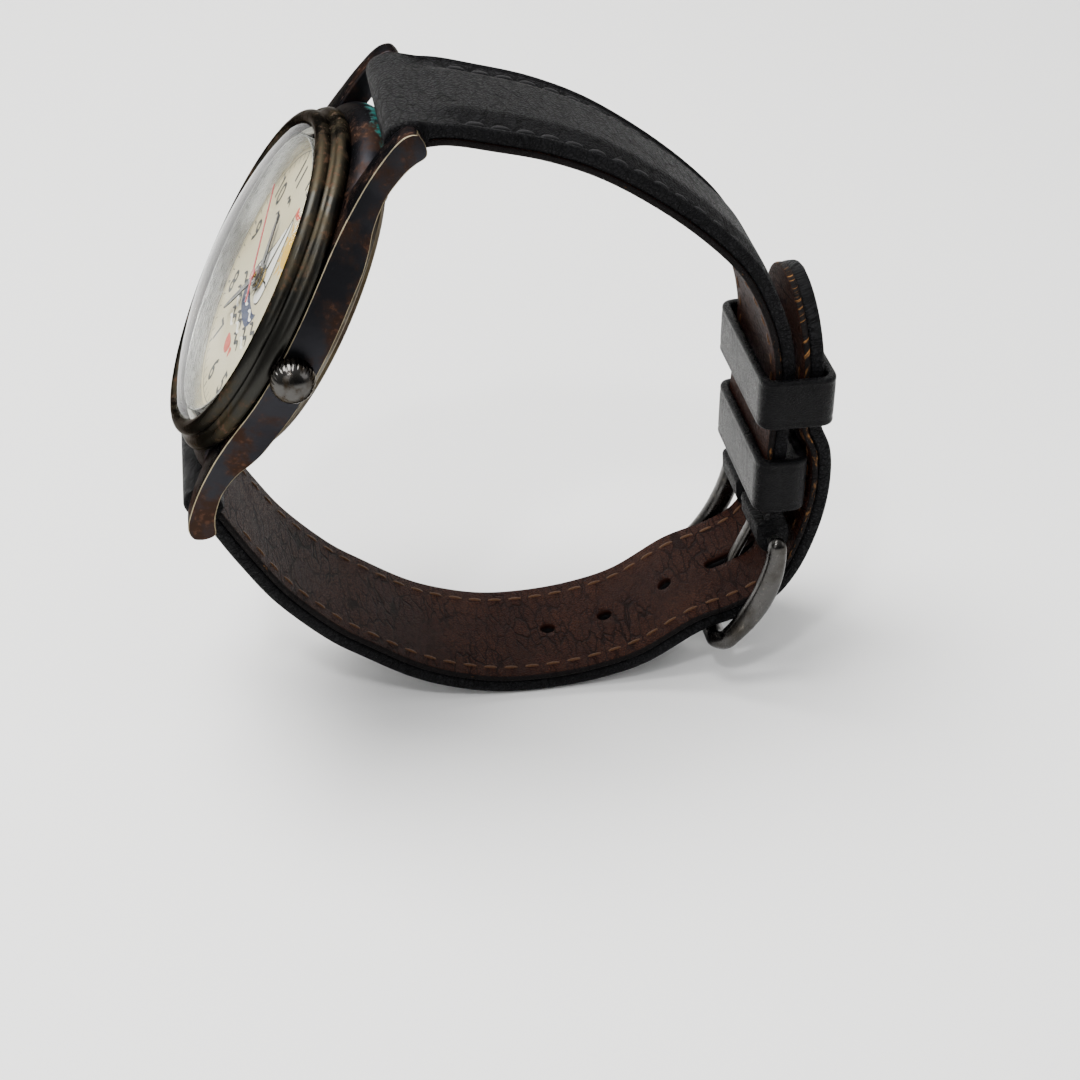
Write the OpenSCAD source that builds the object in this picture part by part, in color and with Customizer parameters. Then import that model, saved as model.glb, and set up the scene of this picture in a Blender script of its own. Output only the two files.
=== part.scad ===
// Hand-wound wristwatch on a buckled leather strap.
// The wrist runs along Y. The dial faces -X and leans back, with 12 o'clock up.

/* [Case] */
// Outer radius of the middle of the case
case_r = 17.2; // [17.1:0.05:17.4]
// Lean of the dial back from upright, in degrees
case_lean = 30; // [29:0.5:31]
// Outer radius of the flat on the case back
back_flat_r = 11.5; // [10:0.5:12.5]
// Height of the domed crystal above its rim
dome_h = 2.4; // [1.8:0.1:2.8]
// Gap between the lugs, for an 18 mm strap
lug_gap = 18.4; // [18.2:0.1:18.8]
// Distance of the spring bars from the middle of the dial
bar_reach = 21; // [20.8:0.1:21.2]

/* [Crown] */
// Radius of the crown
crown_r = 2.05; // [1.8:0.05:2.2]
// Distance of the crown's end from the middle of the dial
crown_end = 20.6; // [20.2:0.1:20.8]

/* [Hands] */
// Length of the hour hand
hour_len = 6.2; // [5:0.1:7]
// Length of the minute hand
minute_len = 8.4; // [7.5:0.1:10]
// Length of the second hand
second_len = 10.8; // [9:0.1:12]
// Time shown: minutes past twelve o'clock
time_min = 636.3; // [0:1:719]
// Time shown: seconds
time_sec = 50.5; // [0:1:59]

/* [Strap] */
// Width of the strap at the lugs
strap_wide = 18; // [17.6:0.1:18]
// Width of the strap at the buckle
strap_narrow = 16; // [15.6:0.1:16]
// Thickness of the outer leather
leather_t = 1.4; // [1.2:0.1:1.5]
// Thickness of the lining
lining_t = 0.7; // [0.5:0.1:0.8]

/* [Buckle and keepers] */
// Outer width of the buckle
buckle_w = 21; // [20.6:0.1:21.4]
// Radius of the buckle's front bar
front_bar_r = 1; // [0.8:0.05:1.05]
// Length of the sliding keeper along the strap
keeper_len = 5.4; // [4.8:0.1:5.6]

/* [Hidden] */
$fn = 64;
eps = 0.01;

// Middle of the crystal's rim, seen from the middle of the wrist opening
rim = [-28, 0, 16];

// Heights along the dial's normal, from the crystal's rim
neck_top = -1.5;
case_top = -2.8;
case_low = -6.3;
back_low = -8.25;
dial_top = -2.05;
dial_low = -2.4;
plate_top = -3.3;
plate_low = -4.7;
bridge_top = -6.5;
bridge_low = -7.05;
stem_z = -4.1;
bar_z = -5.2;

// Radii in the case
bore_r = 14.6;
glass_r = 15.2;
neck_r = 15.6;
plate_r = 12.5;

// Places of the arbors, from the middle of the movement
third_at = 5.4 * [cos(200), sin(200)];
barrel_at = 5.85 * [cos(50), sin(50)];
escape_at = 5.25 * [cos(290), sin(290)];
balance_at = [-3.4, -8.4];
lever_dir = (balance_at - escape_at) / norm(balance_at - escape_at);
lever_turn = atan2(lever_dir[1], lever_dir[0]);
pallet_at = escape_at + 2.35 * lever_dir;
minute_wheel_at = 3.6 * [cos(150), sin(150)];
crown_wheel_at = [7.84, 0];
click_at = [-1.6, 7.6];
lever_at = [11.3, 2.2];
yoke_at = [5.6, -3.2];

// ---- Shared shapes ----

// Stands a piece drawn with the dial in the XY plane in its place on the wrist
module place() {
  translate(rim) rotate([0, case_lean - 90, 0]) rotate([0, 0, -90]) children();
}

// Point on the case, u towards 12 o'clock and n out of the dial, as wrist x and z
function on_case(u, n) = [
  rim[0] + u * sin(case_lean) - n * cos(case_lean),
  rim[2] + u * cos(case_lean) + n * sin(case_lean)
];

// Points along an arc
function arc(c, r, a0, a1, n) =
  [for (i = [0:n]) let (a = a0 + (a1 - a0) * i / n) c + r * [cos(a), sin(a)]];

// Flat ring or disc between two heights
module ring(r_out, r_in, z_low, z_high) {
  translate([0, 0, z_low])
    linear_extrude(z_high - z_low)
      difference() {
        circle(r_out);
        if (r_in > 0) circle(r_in);
      }
}

// Toothed wheel: pointed teeth about the pitch radius, spokes in a large one
module wheel(teeth, pitch_r, bore, z_low, z_high, spokes = 0) {
  tooth = 0.9 * PI * pitch_r / teeth;
  outline = [for (i = [0:2 * teeth - 1])
    (pitch_r + (i % 2 == 0 ? 0.5 : -0.6) * tooth)
      * [cos(180 * i / teeth), sin(180 * i / teeth)]];
  hub = bore + 0.35;
  rim_in = pitch_r - 2.5 * tooth - 0.25;
  translate([0, 0, z_low])
    linear_extrude(z_high - z_low)
      difference() {
        polygon(outline);
        circle(bore);
        if (spokes > 0)
          difference() {
            circle(rim_in);
            circle(hub);
            for (i = [0:spokes - 1])
              rotate(i * 360 / spokes) translate([0, -0.17]) square([pitch_r, 0.34]);
          }
      }
}

// Flat spiral ribbon with a square-edged section
module spiral(r0, r1, turns, ribbon, z_low, z_high) {
  steps = 24 * turns;
  function edge(off) = [for (i = [0:steps])
    (r0 + off + (r1 - r0) * i / steps) * [cos(15 * i), sin(15 * i)]];
  outer = edge(ribbon / 2);
  inner = edge(-ribbon / 2);
  translate([0, 0, z_low])
    linear_extrude(z_high - z_low)
      polygon(concat(outer, [for (i = [steps:-1:0]) inner[i]]));
}

// ---- Case ----

// One lug seen from the dial side, at 12 o'clock and the crown's side
lug_plan = [
  [lug_gap / 2, 7.6], [15.4, 7.6], [14.2, 10.6], [13.1, 13.7], [12.3, 16.8],
  [11.8, 20], [11.5, 23.2], [lug_gap / 2, 23.2]
];

// Lug and flank seen from the side, along 12 o'clock and out of the dial
lug_side = concat(
  [[6, case_top], [13, case_top - 0.15], [16.5, case_top - 0.35], [19.4, case_top - 0.8]],
  arc([21.15, -5.35], 1.75, 75, -65, 10),
  [[20.2, -6.25], [18.2, -5.65], [16.2, -5.35], [14.2, -5.5], [12.4, -5.9],
   [10.6, case_low], [6, case_low]]
);

module lug() {
  intersection() {
    translate([0, 0, case_low - 2]) linear_extrude(6) polygon(lug_plan);
    rotate([90, 0, 90]) linear_extrude(20) polygon(lug_side);
  }
}

module case_shoulder() {
  intersection() {
    rotate_extrude($fn = 128)
      polygon(concat(
        [[bore_r + 0.5, case_low], [bore_r + 0.5, case_top]],
        arc([17.2, -4.8], 2, 90, -20, 10),
        [[18.6, case_low]]));
    translate([-lug_gap / 2 - eps, -25, case_low]) cube([lug_gap + 2 * eps, 50, 6]);
  }
}

module case_middle() {
  color("#3a3833")
    place() difference() {
      union() {
        rotate_extrude($fn = 128)
          polygon([
            [bore_r - 0.6, neck_top], [neck_r, neck_top], [neck_r, case_top],
            [case_r - 0.2, case_top], [case_r, case_top - 0.2],
            [case_r, case_low + 0.2], [case_r - 0.2, case_low], [bore_r - 0.6, case_low]
          ]);
        case_shoulder();
        for (sx = [0, 1], sy = [0, 1])
          mirror([sx, 0, 0]) mirror([0, sy, 0]) lug();
      }
      translate([0, 0, case_low - 1]) cylinder(r = bore_r, h = 8, $fn = 128);
      ring(15.7, 15.1, case_low - eps, case_low + 0.3, $fn = 128);
      translate([0, 0, stem_z]) rotate([0, 90, 0]) cylinder(r = 1, h = 20);
      for (sx = [-1, 1], sy = [-1, 1])
        translate([sx * (lug_gap / 2 - 1), sy * bar_reach, bar_z])
          rotate([0, sx * 90, 0]) cylinder(r = 0.45, h = 2.1, $fn = 24);
    }
}

module bezel() {
  color("#33322f")
    place() rotate_extrude($fn = 128)
      polygon(concat(
        [[neck_r, case_top], [neck_r, neck_top], [glass_r + 0.02, neck_top],
         [glass_r + 0.02, -0.1]],
        arc([15.85, -0.6], 0.8, 133, -30, 12),
        arc([16.75, -2], 0.78, 60, -80, 10)));
}

// Domed acrylic: a skirt in the bezel under a spherical cap
module crystal() {
  cap_r = (glass_r * glass_r + dome_h * dome_h) / (2 * dome_h);
  open_r = glass_r - 1;
  in_h = dome_h - 0.9;
  in_r = (open_r * open_r + in_h * in_h) / (2 * in_h);
  half = asin(glass_r / cap_r);
  in_half = asin(open_r / in_r);
  color([0.93, 0.95, 0.94, 0.35])
    place() rotate_extrude($fn = 128)
      polygon(concat(
        [[open_r, neck_top + 0.3], [glass_r, neck_top + 0.3]],
        arc([0, dome_h - cap_r], cap_r, 90 - half, 90, 16),
        arc([0, in_h - in_r], in_r, 90, 90 - in_half, 16)));
}

module crystal_gasket() {
  color("ivory") place() ring(glass_r, bore_r, neck_top, neck_top + 0.3, $fn = 128);
}

// Bright ring that slopes from the crystal down to the dial's edge
module reflector_ring() {
  color("silver")
    place() rotate_extrude($fn = 128)
      polygon([[13.5, dial_top], [14.1, dial_top], [14.1, -0.35], [13.95, -0.35]]);
}

// Printed disc with a hole for the hands and two feet
module dial() {
  color("#e4dcc4")
    place() {
      ring(bore_r - 0.1, 1.15, dial_low, dial_top, $fn = 128);
      for (a = [80, 260])
        rotate(a) translate([11, 0, plate_top - 0.8])
          cylinder(r = 0.35, h = dial_low - plate_top + 0.9, $fn = 24);
    }
}

module movement_ring() {
  color("#c9c7bd")
    place() difference() {
      ring(bore_r - 0.05, plate_r + 0.05, case_low + 0.1, dial_low, $fn = 128);
      translate([0, 0, stem_z]) rotate([0, 90, 0]) cylinder(r = 1.1, h = 20);
    }
}

module case_back() {
  color("#8b8780")
    place() rotate_extrude($fn = 128)
      polygon([
        [0, back_low], [back_flat_r, back_low], [14.8, -7.6], [16, -6.9],
        [16.2, case_low], [13.9, case_low], [13.6, -7], [12.9, -7.5], [0, -7.5]
      ]);
}

module back_gasket() {
  color("#202020") place() ring(15.7, 15.1, case_low, case_low + 0.3, $fn = 128);
}

// ---- Crown ----

crown_start = case_r + 0.5;

module crown_tube() {
  color("#a8a294")
    place() translate([bore_r + 0.1, 0, stem_z]) rotate([0, 90, 0])
      ring(1, 0.6, 0, 3.6);
}

// Small round-ended knob with a fluted side and a hollow for its tube
module crown() {
  length = crown_end - crown_start;
  flutes = 24;
  color("#5b5a58")
    place() translate([crown_start, 0, stem_z]) rotate([0, 90, 0])
      difference() {
        rotate_extrude()
          polygon(concat(
            [[0, 0], [crown_r - 0.25, 0]],
            arc([crown_r - 0.9, 0.95], 0.9, -45, 50, 8),
            arc([0, -0.55], length + 0.55, 50, 90, 8)));
        translate([0, 0, -eps]) cylinder(r = 1.32, h = 1.1);
        for (i = [0:flutes - 1])
          rotate(i * 360 / flutes) translate([crown_r + 0.05, 0, -0.1])
            cylinder(r = 0.12, h = 1.7, $fn = 16);
      }
}

module crown_gasket() {
  color("#181818")
    place() translate([crown_start + 0.15, 0, stem_z]) rotate([0, 90, 0])
      ring(1.28, 1.04, 0, 0.7);
}

// Round at the crown, grooved for the setting lever, square for the pinion
module winding_stem() {
  color("#9a9c9e")
    place() translate([0, 0, stem_z]) rotate([0, 90, 0]) {
      ring(0.45, 0, 11.85, crown_end - 1.1);
      ring(0.28, 0, 11.3, 11.85);
      ring(0.36, 0, 9.95, 11.3);
      translate([-0.3, -0.3, 8.2]) cube([0.6, 0.6, 1.75]);
      ring(0.2, 0, 7.2, 8.2);
    }
}

module winding_pinion() {
  color("#a7a9ab")
    place() translate([0, 0, stem_z]) rotate([0, 90, 0])
      wheel(12, 0.58, 0.38, 10, 10.7);
}

module sliding_pinion() {
  color("#a7a9ab")
    place() translate([0, 0, stem_z]) rotate([0, 90, 0])
      difference() {
        wheel(12, 0.53, 0.1, 8.6, 9.8);
        translate([-0.32, -0.32, 8]) cube([0.64, 0.64, 3]);
      }
}

// ---- Hands ----

minute_turn = -(time_min % 60) * 6;
hour_turn = -time_min / 2;
second_turn = -time_sec * 6;

// Tapered blade pointing along Y, round its hub, with a tail
module hand(length, tail, wide, tip, hub, bore, z_low, thick) {
  translate([0, 0, z_low])
    difference() {
      union() {
        cylinder(r = hub, h = thick);
        linear_extrude(thick)
          polygon([
            [-wide / 2, 0], [-wide * 0.35, length * 0.8], [-tip / 2, length],
            [tip / 2, length], [wide * 0.35, length * 0.8], [wide / 2, 0],
            [wide * 0.4, -tail], [-wide * 0.4, -tail]
          ]);
      }
      translate([0, 0, -1]) cylinder(r = bore, h = 2);
    }
}

module hour_hand() {
  color("#22252a")
    place() rotate(hour_turn) hand(hour_len, 1.2, 0.95, 0.2, 1.35, 1.01, -1.78, 0.14);
}

module minute_hand() {
  color("#22252a")
    place() rotate(minute_turn) hand(minute_len, 1.2, 0.75, 0.16, 1.05, 0.69, -1.45, 0.12);
}

module second_hand() {
  color("#b5202a")
    place() rotate(second_turn) hand(second_len, 3.2, 0.3, 0.1, 0.6, 0.2, -1.1, 0.1);
}

// ---- Motion work, under the dial ----

module cannon_pinion() {
  color("#b9bbbd")
    place() {
      wheel(12, 0.9, 0.5, -3.22, -2.98);
      ring(0.68, 0.5, -2.98, -1.3);
    }
}

module hour_wheel() {
  color("#c8a452")
    place() {
      wheel(40, 2.88, 0.74, -2.72, -2.56);
      ring(1, 0.74, -2.56, -1.62);
    }
}

module minute_wheel() {
  color("#c8a452")
    place() translate(minute_wheel_at) {
      wheel(36, 2.7, 0.3, -3.18, -3.04);
      wheel(10, 0.72, 0.3, -3.04, -2.56);
    }
}

// ---- Keyless work ----

module setting_lever() {
  tip = [11.58, 0];
  color("#9a9c9e")
    place() {
      for (p = [lever_at, tip])
        translate(p) ring(0.5, 0, -3.2, -2.95);
      reach = tip - lever_at;
      translate(lever_at) rotate(atan2(reach[1], reach[0]))
        translate([0, -0.4, -3.2]) cube([norm(reach), 0.8, 0.25]);
      translate(tip) ring(0.18, 0, -3.75, -3.2);
    }
}

// Bent arm that rests in the sliding pinion's groove
module yoke() {
  color("#9a9c9e")
    place() {
      translate(yoke_at) ring(0.6, 0, -3.25, -3);
      translate([yoke_at[0], yoke_at[1] - 0.3, -3.25]) cube([3.8, 0.6, 0.25]);
      translate([yoke_at[0] + 3.2, yoke_at[1] - 0.3, -3.25]) cube([0.6, 2.1, 0.25]);
    }
}

// ---- Plate and bridges ----

arbor_holes = [third_at, escape_at, balance_at, pallet_at];

module main_plate() {
  color("#c9b06a")
    place() difference() {
      ring(plate_r, 0.5, plate_low, plate_top, $fn = 96);
      for (p = arbor_holes) translate(p) ring(0.55, 0, plate_low - 1, plate_top + 1);
      translate(barrel_at) ring(0.62, 0, plate_low - 1, plate_top + 1);
      for (a = [80, 260])
        rotate(a) translate([11, 0, plate_low - 1]) cylinder(r = 0.4, h = 3, $fn = 24);
      translate([0, 0, stem_z]) rotate([0, 90, 0]) translate([0, 0, 10.8])
        cylinder(r = 0.5, h = 4, $fn = 32);
      translate([7, 0, stem_z]) rotate([0, 90, 0]) cylinder(r = 0.25, h = 1.5, $fn = 24);
      translate([8.1, -0.85, plate_low - 1]) cube([2.75, 1.7, 3]);
      translate([11.05, -0.45, stem_z]) cube([1.6, 0.9, 2]);
    }
}

// Part of the disc of the movement between two radii and two angles
module sector(r_out, r_in, a0, a1) {
  difference() {
    polygon(concat([[0, 0]], arc([0, 0], r_out, a0, a1, 16)));
    circle(r_in);
  }
}

// Bridge: a flat top on feet that stand on the plate, with arbor holes
module bridge_top_and_feet(feet) {
  translate([0, 0, bridge_low])
    linear_extrude(bridge_top - bridge_low) children();
  for (f = feet)
    translate([0, 0, bridge_top - 0.2])
      linear_extrude(plate_low - bridge_top + 0.2) sector(f[0], f[1], f[2], f[3]);
}

module barrel_bridge() {
  color("#d8d4c8")
    place() difference() {
      bridge_top_and_feet([[12.1, 9.2, 100, 130], [12.1, 10.6, 8, 16]])
        intersection() {
          circle(12.3);
          translate([-13, 1]) square([26, 12]);
        }
      translate(barrel_at) ring(0.55, 0, -8, plate_low);
    }
}

module train_bridge() {
  color("#d8d4c8")
    place() difference() {
      bridge_top_and_feet([[12.1, 10.8, 190, 206], [12.1, 9.3, 326, 343]])
        intersection() {
          circle(12.3);
          translate([-13, -6.2]) square([26, 7]);
        }
      for (p = [[0, 0], third_at, escape_at])
        translate(p) ring(0.5, 0, bridge_low - 1, bridge_top + 1);
    }
}

module balance_cock() {
  foot = [5.4, -9.2];
  color("#d8d4c8")
    place() difference() {
      union() {
        translate(foot) ring(1.6, 0, bridge_low, plate_low);
        translate(balance_at) ring(1.9, 0, bridge_low, bridge_top);
        translate([balance_at[0], -10.1, bridge_low])
          cube([foot[0] - balance_at[0], 2.2, bridge_top - bridge_low]);
      }
      translate(balance_at) ring(0.5, 0, bridge_low - 1, bridge_top + 1);
    }
}

module pallet_bridge() {
  color("#d8d4c8")
    place() translate(pallet_at) rotate(lever_turn + 90) difference() {
      union() {
        translate([-2.4, -0.6, -5.55]) cube([4.8, 1.2, 0.25]);
        for (s = [-1, 1]) translate([2.4 * s, 0, 0]) ring(0.6, 0, -5.55, plate_low);
      }
      ring(0.3, 0, -6, -5);
    }
}

// Ruby bearings pressed into the plate and bridges
module jewel(at, r_out, z_low, z_high) {
  translate(at) ring(r_out, 0.1, z_low, z_high, $fn = 24);
}

module train_jewels() {
  color("#c2305a")
    place() {
      for (p = arbor_holes) jewel(p, 0.55, plate_low, plate_low + 0.3);
      for (p = [[0, 0], third_at, escape_at]) jewel(p, 0.5, bridge_top - 0.3, bridge_top);
      jewel(balance_at, 0.5, bridge_top - 0.3, bridge_top);
      jewel(pallet_at, 0.3, -5.55, -5.3);
    }
}

screw_places = [[-5.8, 10], [11.2, 2.3], [-11.2, -3.6], [9.3, -4.1], [5.4, -9.2]];

module movement_screws() {
  color("#6f7fa0")
    place() {
      for (p = screw_places)
        translate(p) difference() {
          ring(0.65, 0, bridge_low - 0.3, bridge_low, $fn = 32);
          translate([-1, -0.1, bridge_low - 0.4]) cube([2, 0.2, 0.25]);
        }
      translate(crown_wheel_at) {
        ring(0.85, 0, -5.12, -4.97, $fn = 32);
        ring(0.45, 0, -4.97, plate_low, $fn = 32);
      }
    }
}

// ---- Barrel and winding ----

module barrel_drum() {
  color("#c8a452")
    place() translate(barrel_at) {
      wheel(80, 5.2, 0.62, -5.27, -5.07);
      ring(4.95, 4.65, -5.8, -5.27);
    }
}

module barrel_cover() {
  color("#c8a452") place() translate(barrel_at) ring(4.95, 0.62, -5.9, -5.8);
}

module mainspring() {
  color("#8795a8")
    place() translate(barrel_at) spiral(1.05, 4.5, 9, 0.14, -5.75, -5.32);
}

module barrel_arbor() {
  color("#a7a9ab")
    place() translate(barrel_at) {
      ring(0.58, 0, -5.3, plate_low + 0.6);
      ring(0.9, 0, -5.77, -5.3);
      ring(0.52, 0, bridge_low + 0.05, -5.77);
    }
}

module ratchet_wheel() {
  color("#b7b9bb") place() translate(barrel_at) wheel(53, 3.6, 0.58, -4.95, -4.78);
}

module crown_wheel() {
  color("#b7b9bb") place() translate(crown_wheel_at) wheel(36, 2.46, 0.5, -4.95, -4.78);
}

// Pawl that lets the ratchet wheel turn one way
module click() {
  color("#b7b9bb")
    place() translate(click_at) {
      ring(0.65, 0, -4.95, -4.78);
      translate([0, 0, -4.95]) linear_extrude(0.17)
        polygon([[0.2, 0.6], [2.15, -0.35], [2.2, -0.75], [-0.1, -0.6]]);
    }
}

module click_spring() {
  color("#8795a8")
    place() translate([-2.6, 8.75, -4.95]) cube([4.2, 0.18, 0.17]);
}

// ---- Going train ----

module center_wheel() {
  color("#c8a452")
    place() {
      wheel(80, 4.8, 0.3, -6.05, -5.93, spokes = 5);
      wheel(10, 0.65, 0.27, -5.4, -5);
      ring(0.45, 0.27, -6.05, -1.36);
    }
}

module third_wheel() {
  color("#c8a452")
    place() translate(third_at) {
      wheel(75, 4.765, 0.15, -6.25, -6.15, spokes = 5);
      wheel(10, 0.6, 0.09, -6.12, -5.88);
      ring(0.2, 0, -6.45, plate_low);
      ring(0.09, 0, bridge_top - 0.3, plate_low + 0.3);
    }
}

module fourth_wheel() {
  color("#c8a452")
    place() {
      wheel(80, 4.77, 0.15, -6.43, -6.34, spokes = 5);
      wheel(10, 0.635, 0.15, -6.32, -6.12);
      ring(0.2, 0, -6.46, -1);
      ring(0.09, 0, bridge_top - 0.3, -6.46);
    }
}

module escape_wheel() {
  color("#b9bbbd")
    place() translate(escape_at) {
      wheel(15, 1.9, 0.1, -5.2, -5.08, spokes = 4);
      wheel(8, 0.477, 0.1, -6.47, -6.3);
      ring(0.18, 0, -6.47, plate_low);
      ring(0.09, 0, bridge_top - 0.3, plate_low + 0.3);
    }
}

// Lever, drawn with its fork along X from the arbor
module lever() { translate(pallet_at) rotate(lever_turn) children(); }

module pallet_fork() {
  color("#b9bbbd")
    place() lever() {
      translate([0, 0, -5.22]) linear_extrude(0.14) {
        circle(0.4);
        translate([0, -0.12]) square([3, 0.24]);
        translate([-0.35, -1.35]) square([0.5, 2.7]);
        for (s = [-1, 1]) translate([2.9, s * 0.3 - 0.08]) square([0.5, 0.16]);
        translate([2.7, -0.38]) square([0.2, 0.76]);
      }
      ring(0.15, 0, -5.29, plate_low);
      ring(0.09, 0, -5.5, plate_low + 0.3);
    }
}

module pallet_stones() {
  color("#c2305a")
    place() lever()
      for (s = [-1, 1])
        translate([-0.75, s * 1.18 - 0.12, -5.2]) cube([0.4, 0.24, 0.1]);
}

module balance_wheel() {
  color("#c8a452")
    place() translate(balance_at) {
      ring(3, 2.6, -6.05, -5.7);
      translate([-2.7, -0.25, -5.95]) cube([2.45, 0.5, 0.15]);
      translate([0.25, -0.25, -5.95]) cube([2.45, 0.5, 0.15]);
      ring(0.5, 0.3, -6.05, -5.75);
    }
}

module balance_staff() {
  color("#b9bbbd")
    place() translate(balance_at) {
      ring(0.29, 0, -6.4, -4.8);
      ring(0.55, 0, -5.5, -5.35);
      translate([0.38, -0.08, -5.35]) cube([0.14, 0.16, 0.25]);
      ring(0.09, 0, bridge_top - 0.3, plate_low + 0.3);
    }
}

module hairspring() {
  color("#6f7fa0")
    place() translate(balance_at) spiral(0.42, 1.65, 8, 0.05, -6.33, -6.2);
}

module regulator() {
  color("#b7b9bb")
    place() translate(balance_at) {
      ring(0.9, 0.5, bridge_low - 0.15, bridge_low);
      translate([-0.15, -2.6, bridge_low - 0.15]) cube([0.3, 1.8, 0.15]);
    }
}

// ---- Spring bars ----

// Bar with a thin tip at each end, along Y
module spring_bar(at, r, length, tip_r, tip) {
  translate([at[0], 0, at[1]]) rotate([90, 0, 0]) {
    cylinder(r = r, h = length, center = true, $fn = 48);
    cylinder(r = tip_r, h = length + 2 * tip, center = true, $fn = 32);
  }
}

bar_12 = on_case(bar_reach, bar_z);
bar_6 = on_case(-bar_reach, bar_z);
hinge_bar = [24, -15.2];

module spring_bar_12() { color("#a8a9ab") spring_bar(bar_12, 0.75, 17.9, 0.4, 1.1); }
module spring_bar_6() { color("#a8a9ab") spring_bar(bar_6, 0.75, 17.9, 0.4, 1.1); }
module buckle_bar() { color("#a8a9ab") spring_bar(hinge_bar, 0.7, 17.1, 0.4, 1.1); }

// ---- Strap ----

// Middle of the strap's thickness, as points of wrist x and z
upper_line = [
  bar_12, [-9.2, 31.9], [-4.5, 30.9], [0.6, 29.5], [5.7, 27.3], [10.9, 24], [15.8, 20.1],
  [19.8, 15.9], [22.4, 11], [23.7, 6.6], [24, 2], [23.6, -8], hinge_bar
];
lower_line = [
  bar_6, [-32.3, -7.9], [-30, -12], [-26.8, -16.9], [-22.2, -21.8], [-18.5, -24.6],
  [-14, -27.6], [-10, -29.4], [-5, -30.7], [0.3, -30.9], [5.6, -30.3], [10.7, -28.8],
  [16.3, -25.4], [20.6, -23.9], [23.8, -22.2], [25.7, -19.8], [27.1, -16.6], [28.2, -12.5],
  [28.6, -8.5], [28.3, -5], [27.1, -2], [26.9, 1], [26.9, 4.5], [26.7, 8.2], [26.4, 11.9]
];

// Smooth curve through the points, four steps to each
function curve(p) = [
  for (i = [0:len(p) - 2], k = [0:3])
    let (t = k / 4, a = p[max(i - 1, 0)], b = p[i], c = p[i + 1],
         d = p[min(i + 2, len(p) - 1)])
      0.5 * (2 * b + (c - a) * t + (2 * a - 5 * b + 4 * c - d) * t * t
        + (3 * b - a - 3 * c + d) * t * t * t),
  p[len(p) - 1]
];

// The same curve moved sideways by d, to the left of its direction
function beside(path, d) = [
  for (i = [0:len(path) - 1])
    let (w = path[min(i + 1, len(path) - 1)] - path[max(i - 1, 0)])
      path[i] + d * [-w[1], w[0]] / norm(w)
];

function reversed(p) = [for (i = [len(p) - 1:-1:0]) p[i]];

// Layer of the strap between two distances from its middle line
module layer(path, a, b) {
  polygon(concat(beside(path, a), reversed(beside(path, b))));
}

// Outline drawn in x and z, given its width along Y
module slab(width) {
  rotate([90, 0, 0]) linear_extrude(width, center = true) children();
}

// The strap seen from above: it narrows from the lugs to the buckle
module taper() {
  w = strap_wide / 2;
  n = strap_narrow / 2;
  intersection() {
    children();
    translate([0, 0, -60])
      linear_extrude(120)
        polygon([[-50, w], [-16, w], [14, n], [40, n], [40, -n], [14, -n], [-16, -w], [-50, -w]]);
  }
}

strap_t = leather_t + lining_t;
upper_path = curve(upper_line);
lower_path = curve(lower_line);
end_r = 1.7;
eye_r = 0.8;

// Round bar along Y through a point of wrist x and z
module along_wrist(at, r, length) {
  translate([at[0], 0, at[1]]) rotate([90, 0, 0])
    cylinder(r = r, h = length, center = true, $fn = 48);
}

// Slot in the short strap's end for the buckle's tongue
module tongue_slot() {
  translate([hinge_bar[0] - 4, -1.15, hinge_bar[1] - 3]) cube([8, 2.3, 5.2]);
}

module strap_upper() {
  color("#1b1b1b")
    difference() {
      taper() {
        slab(30) layer(upper_path, strap_t / 2, strap_t / 2 - leather_t);
        along_wrist(bar_12, end_r, 30);
        along_wrist(hinge_bar, end_r, 30);
      }
      along_wrist(bar_12, eye_r, 31);
      along_wrist(hinge_bar, eye_r, 31);
      tongue_slot();
    }
}

module strap_upper_lining() {
  color("#5a3420")
    difference() {
      taper() slab(30) layer(upper_path, strap_t / 2 - leather_t, -strap_t / 2);
      along_wrist(bar_12, end_r, 31);
      along_wrist(hinge_bar, end_r, 31);
      tongue_slot();
    }
}

// Buckle: its front bar, and where the tongue goes through the strap
front_bar = [18.4, -27];
hole_at = [22.2, -23.2];
hole_dir = [0.92, 0.39];

// Number of the curve's step at each spare hole, on both sides of the buckle
spare_holes = [37, 42, 47, 60, 67, 74];

module hole_through(at, along, length) {
  turn = atan2(along[1], along[0]);
  translate([at[0], 0, at[1]]) rotate([0, -turn, 0])
    for (s = [-1, 1]) translate([s * length / 2, 0, -4]) cylinder(r = 0.85, h = 8, $fn = 24);
  if (length > 0)
    translate([at[0], 0, at[1]]) rotate([0, -turn, 0])
      translate([-length / 2, -0.85, -4]) cube([length, 1.7, 8]);
}

module strap_holes() {
  hole_through(hole_at, hole_dir, 4.6);
  for (i = spare_holes)
    hole_through(lower_path[i], lower_path[i + 1] - lower_path[i - 1], 0);
}

// Cuts the corners off the strap's free end, which leaves a half-round tip
module tip_cut() {
  tip_low = 11.9 - strap_narrow / 2;
  difference() {
    translate([20, -15, tip_low]) cube([12, 30, 12]);
    translate([19, 0, tip_low]) rotate([0, 90, 0])
      cylinder(r = strap_narrow / 2, h = 14, $fn = 96);
  }
}

module strap_lower() {
  color("#1b1b1b")
    difference() {
      taper() {
        slab(30) layer(lower_path, -strap_t / 2, -strap_t / 2 + leather_t);
        along_wrist(bar_6, end_r, 30);
      }
      along_wrist(bar_6, eye_r, 31);
      strap_holes();
      tip_cut();
    }
}

module strap_lower_lining() {
  color("#5a3420")
    difference() {
      taper() slab(30) layer(lower_path, -strap_t / 2 + leather_t, strap_t / 2);
      along_wrist(bar_6, end_r, 31);
      strap_holes();
      tip_cut();
    }
}

// ---- Keepers and buckle ----

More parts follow.
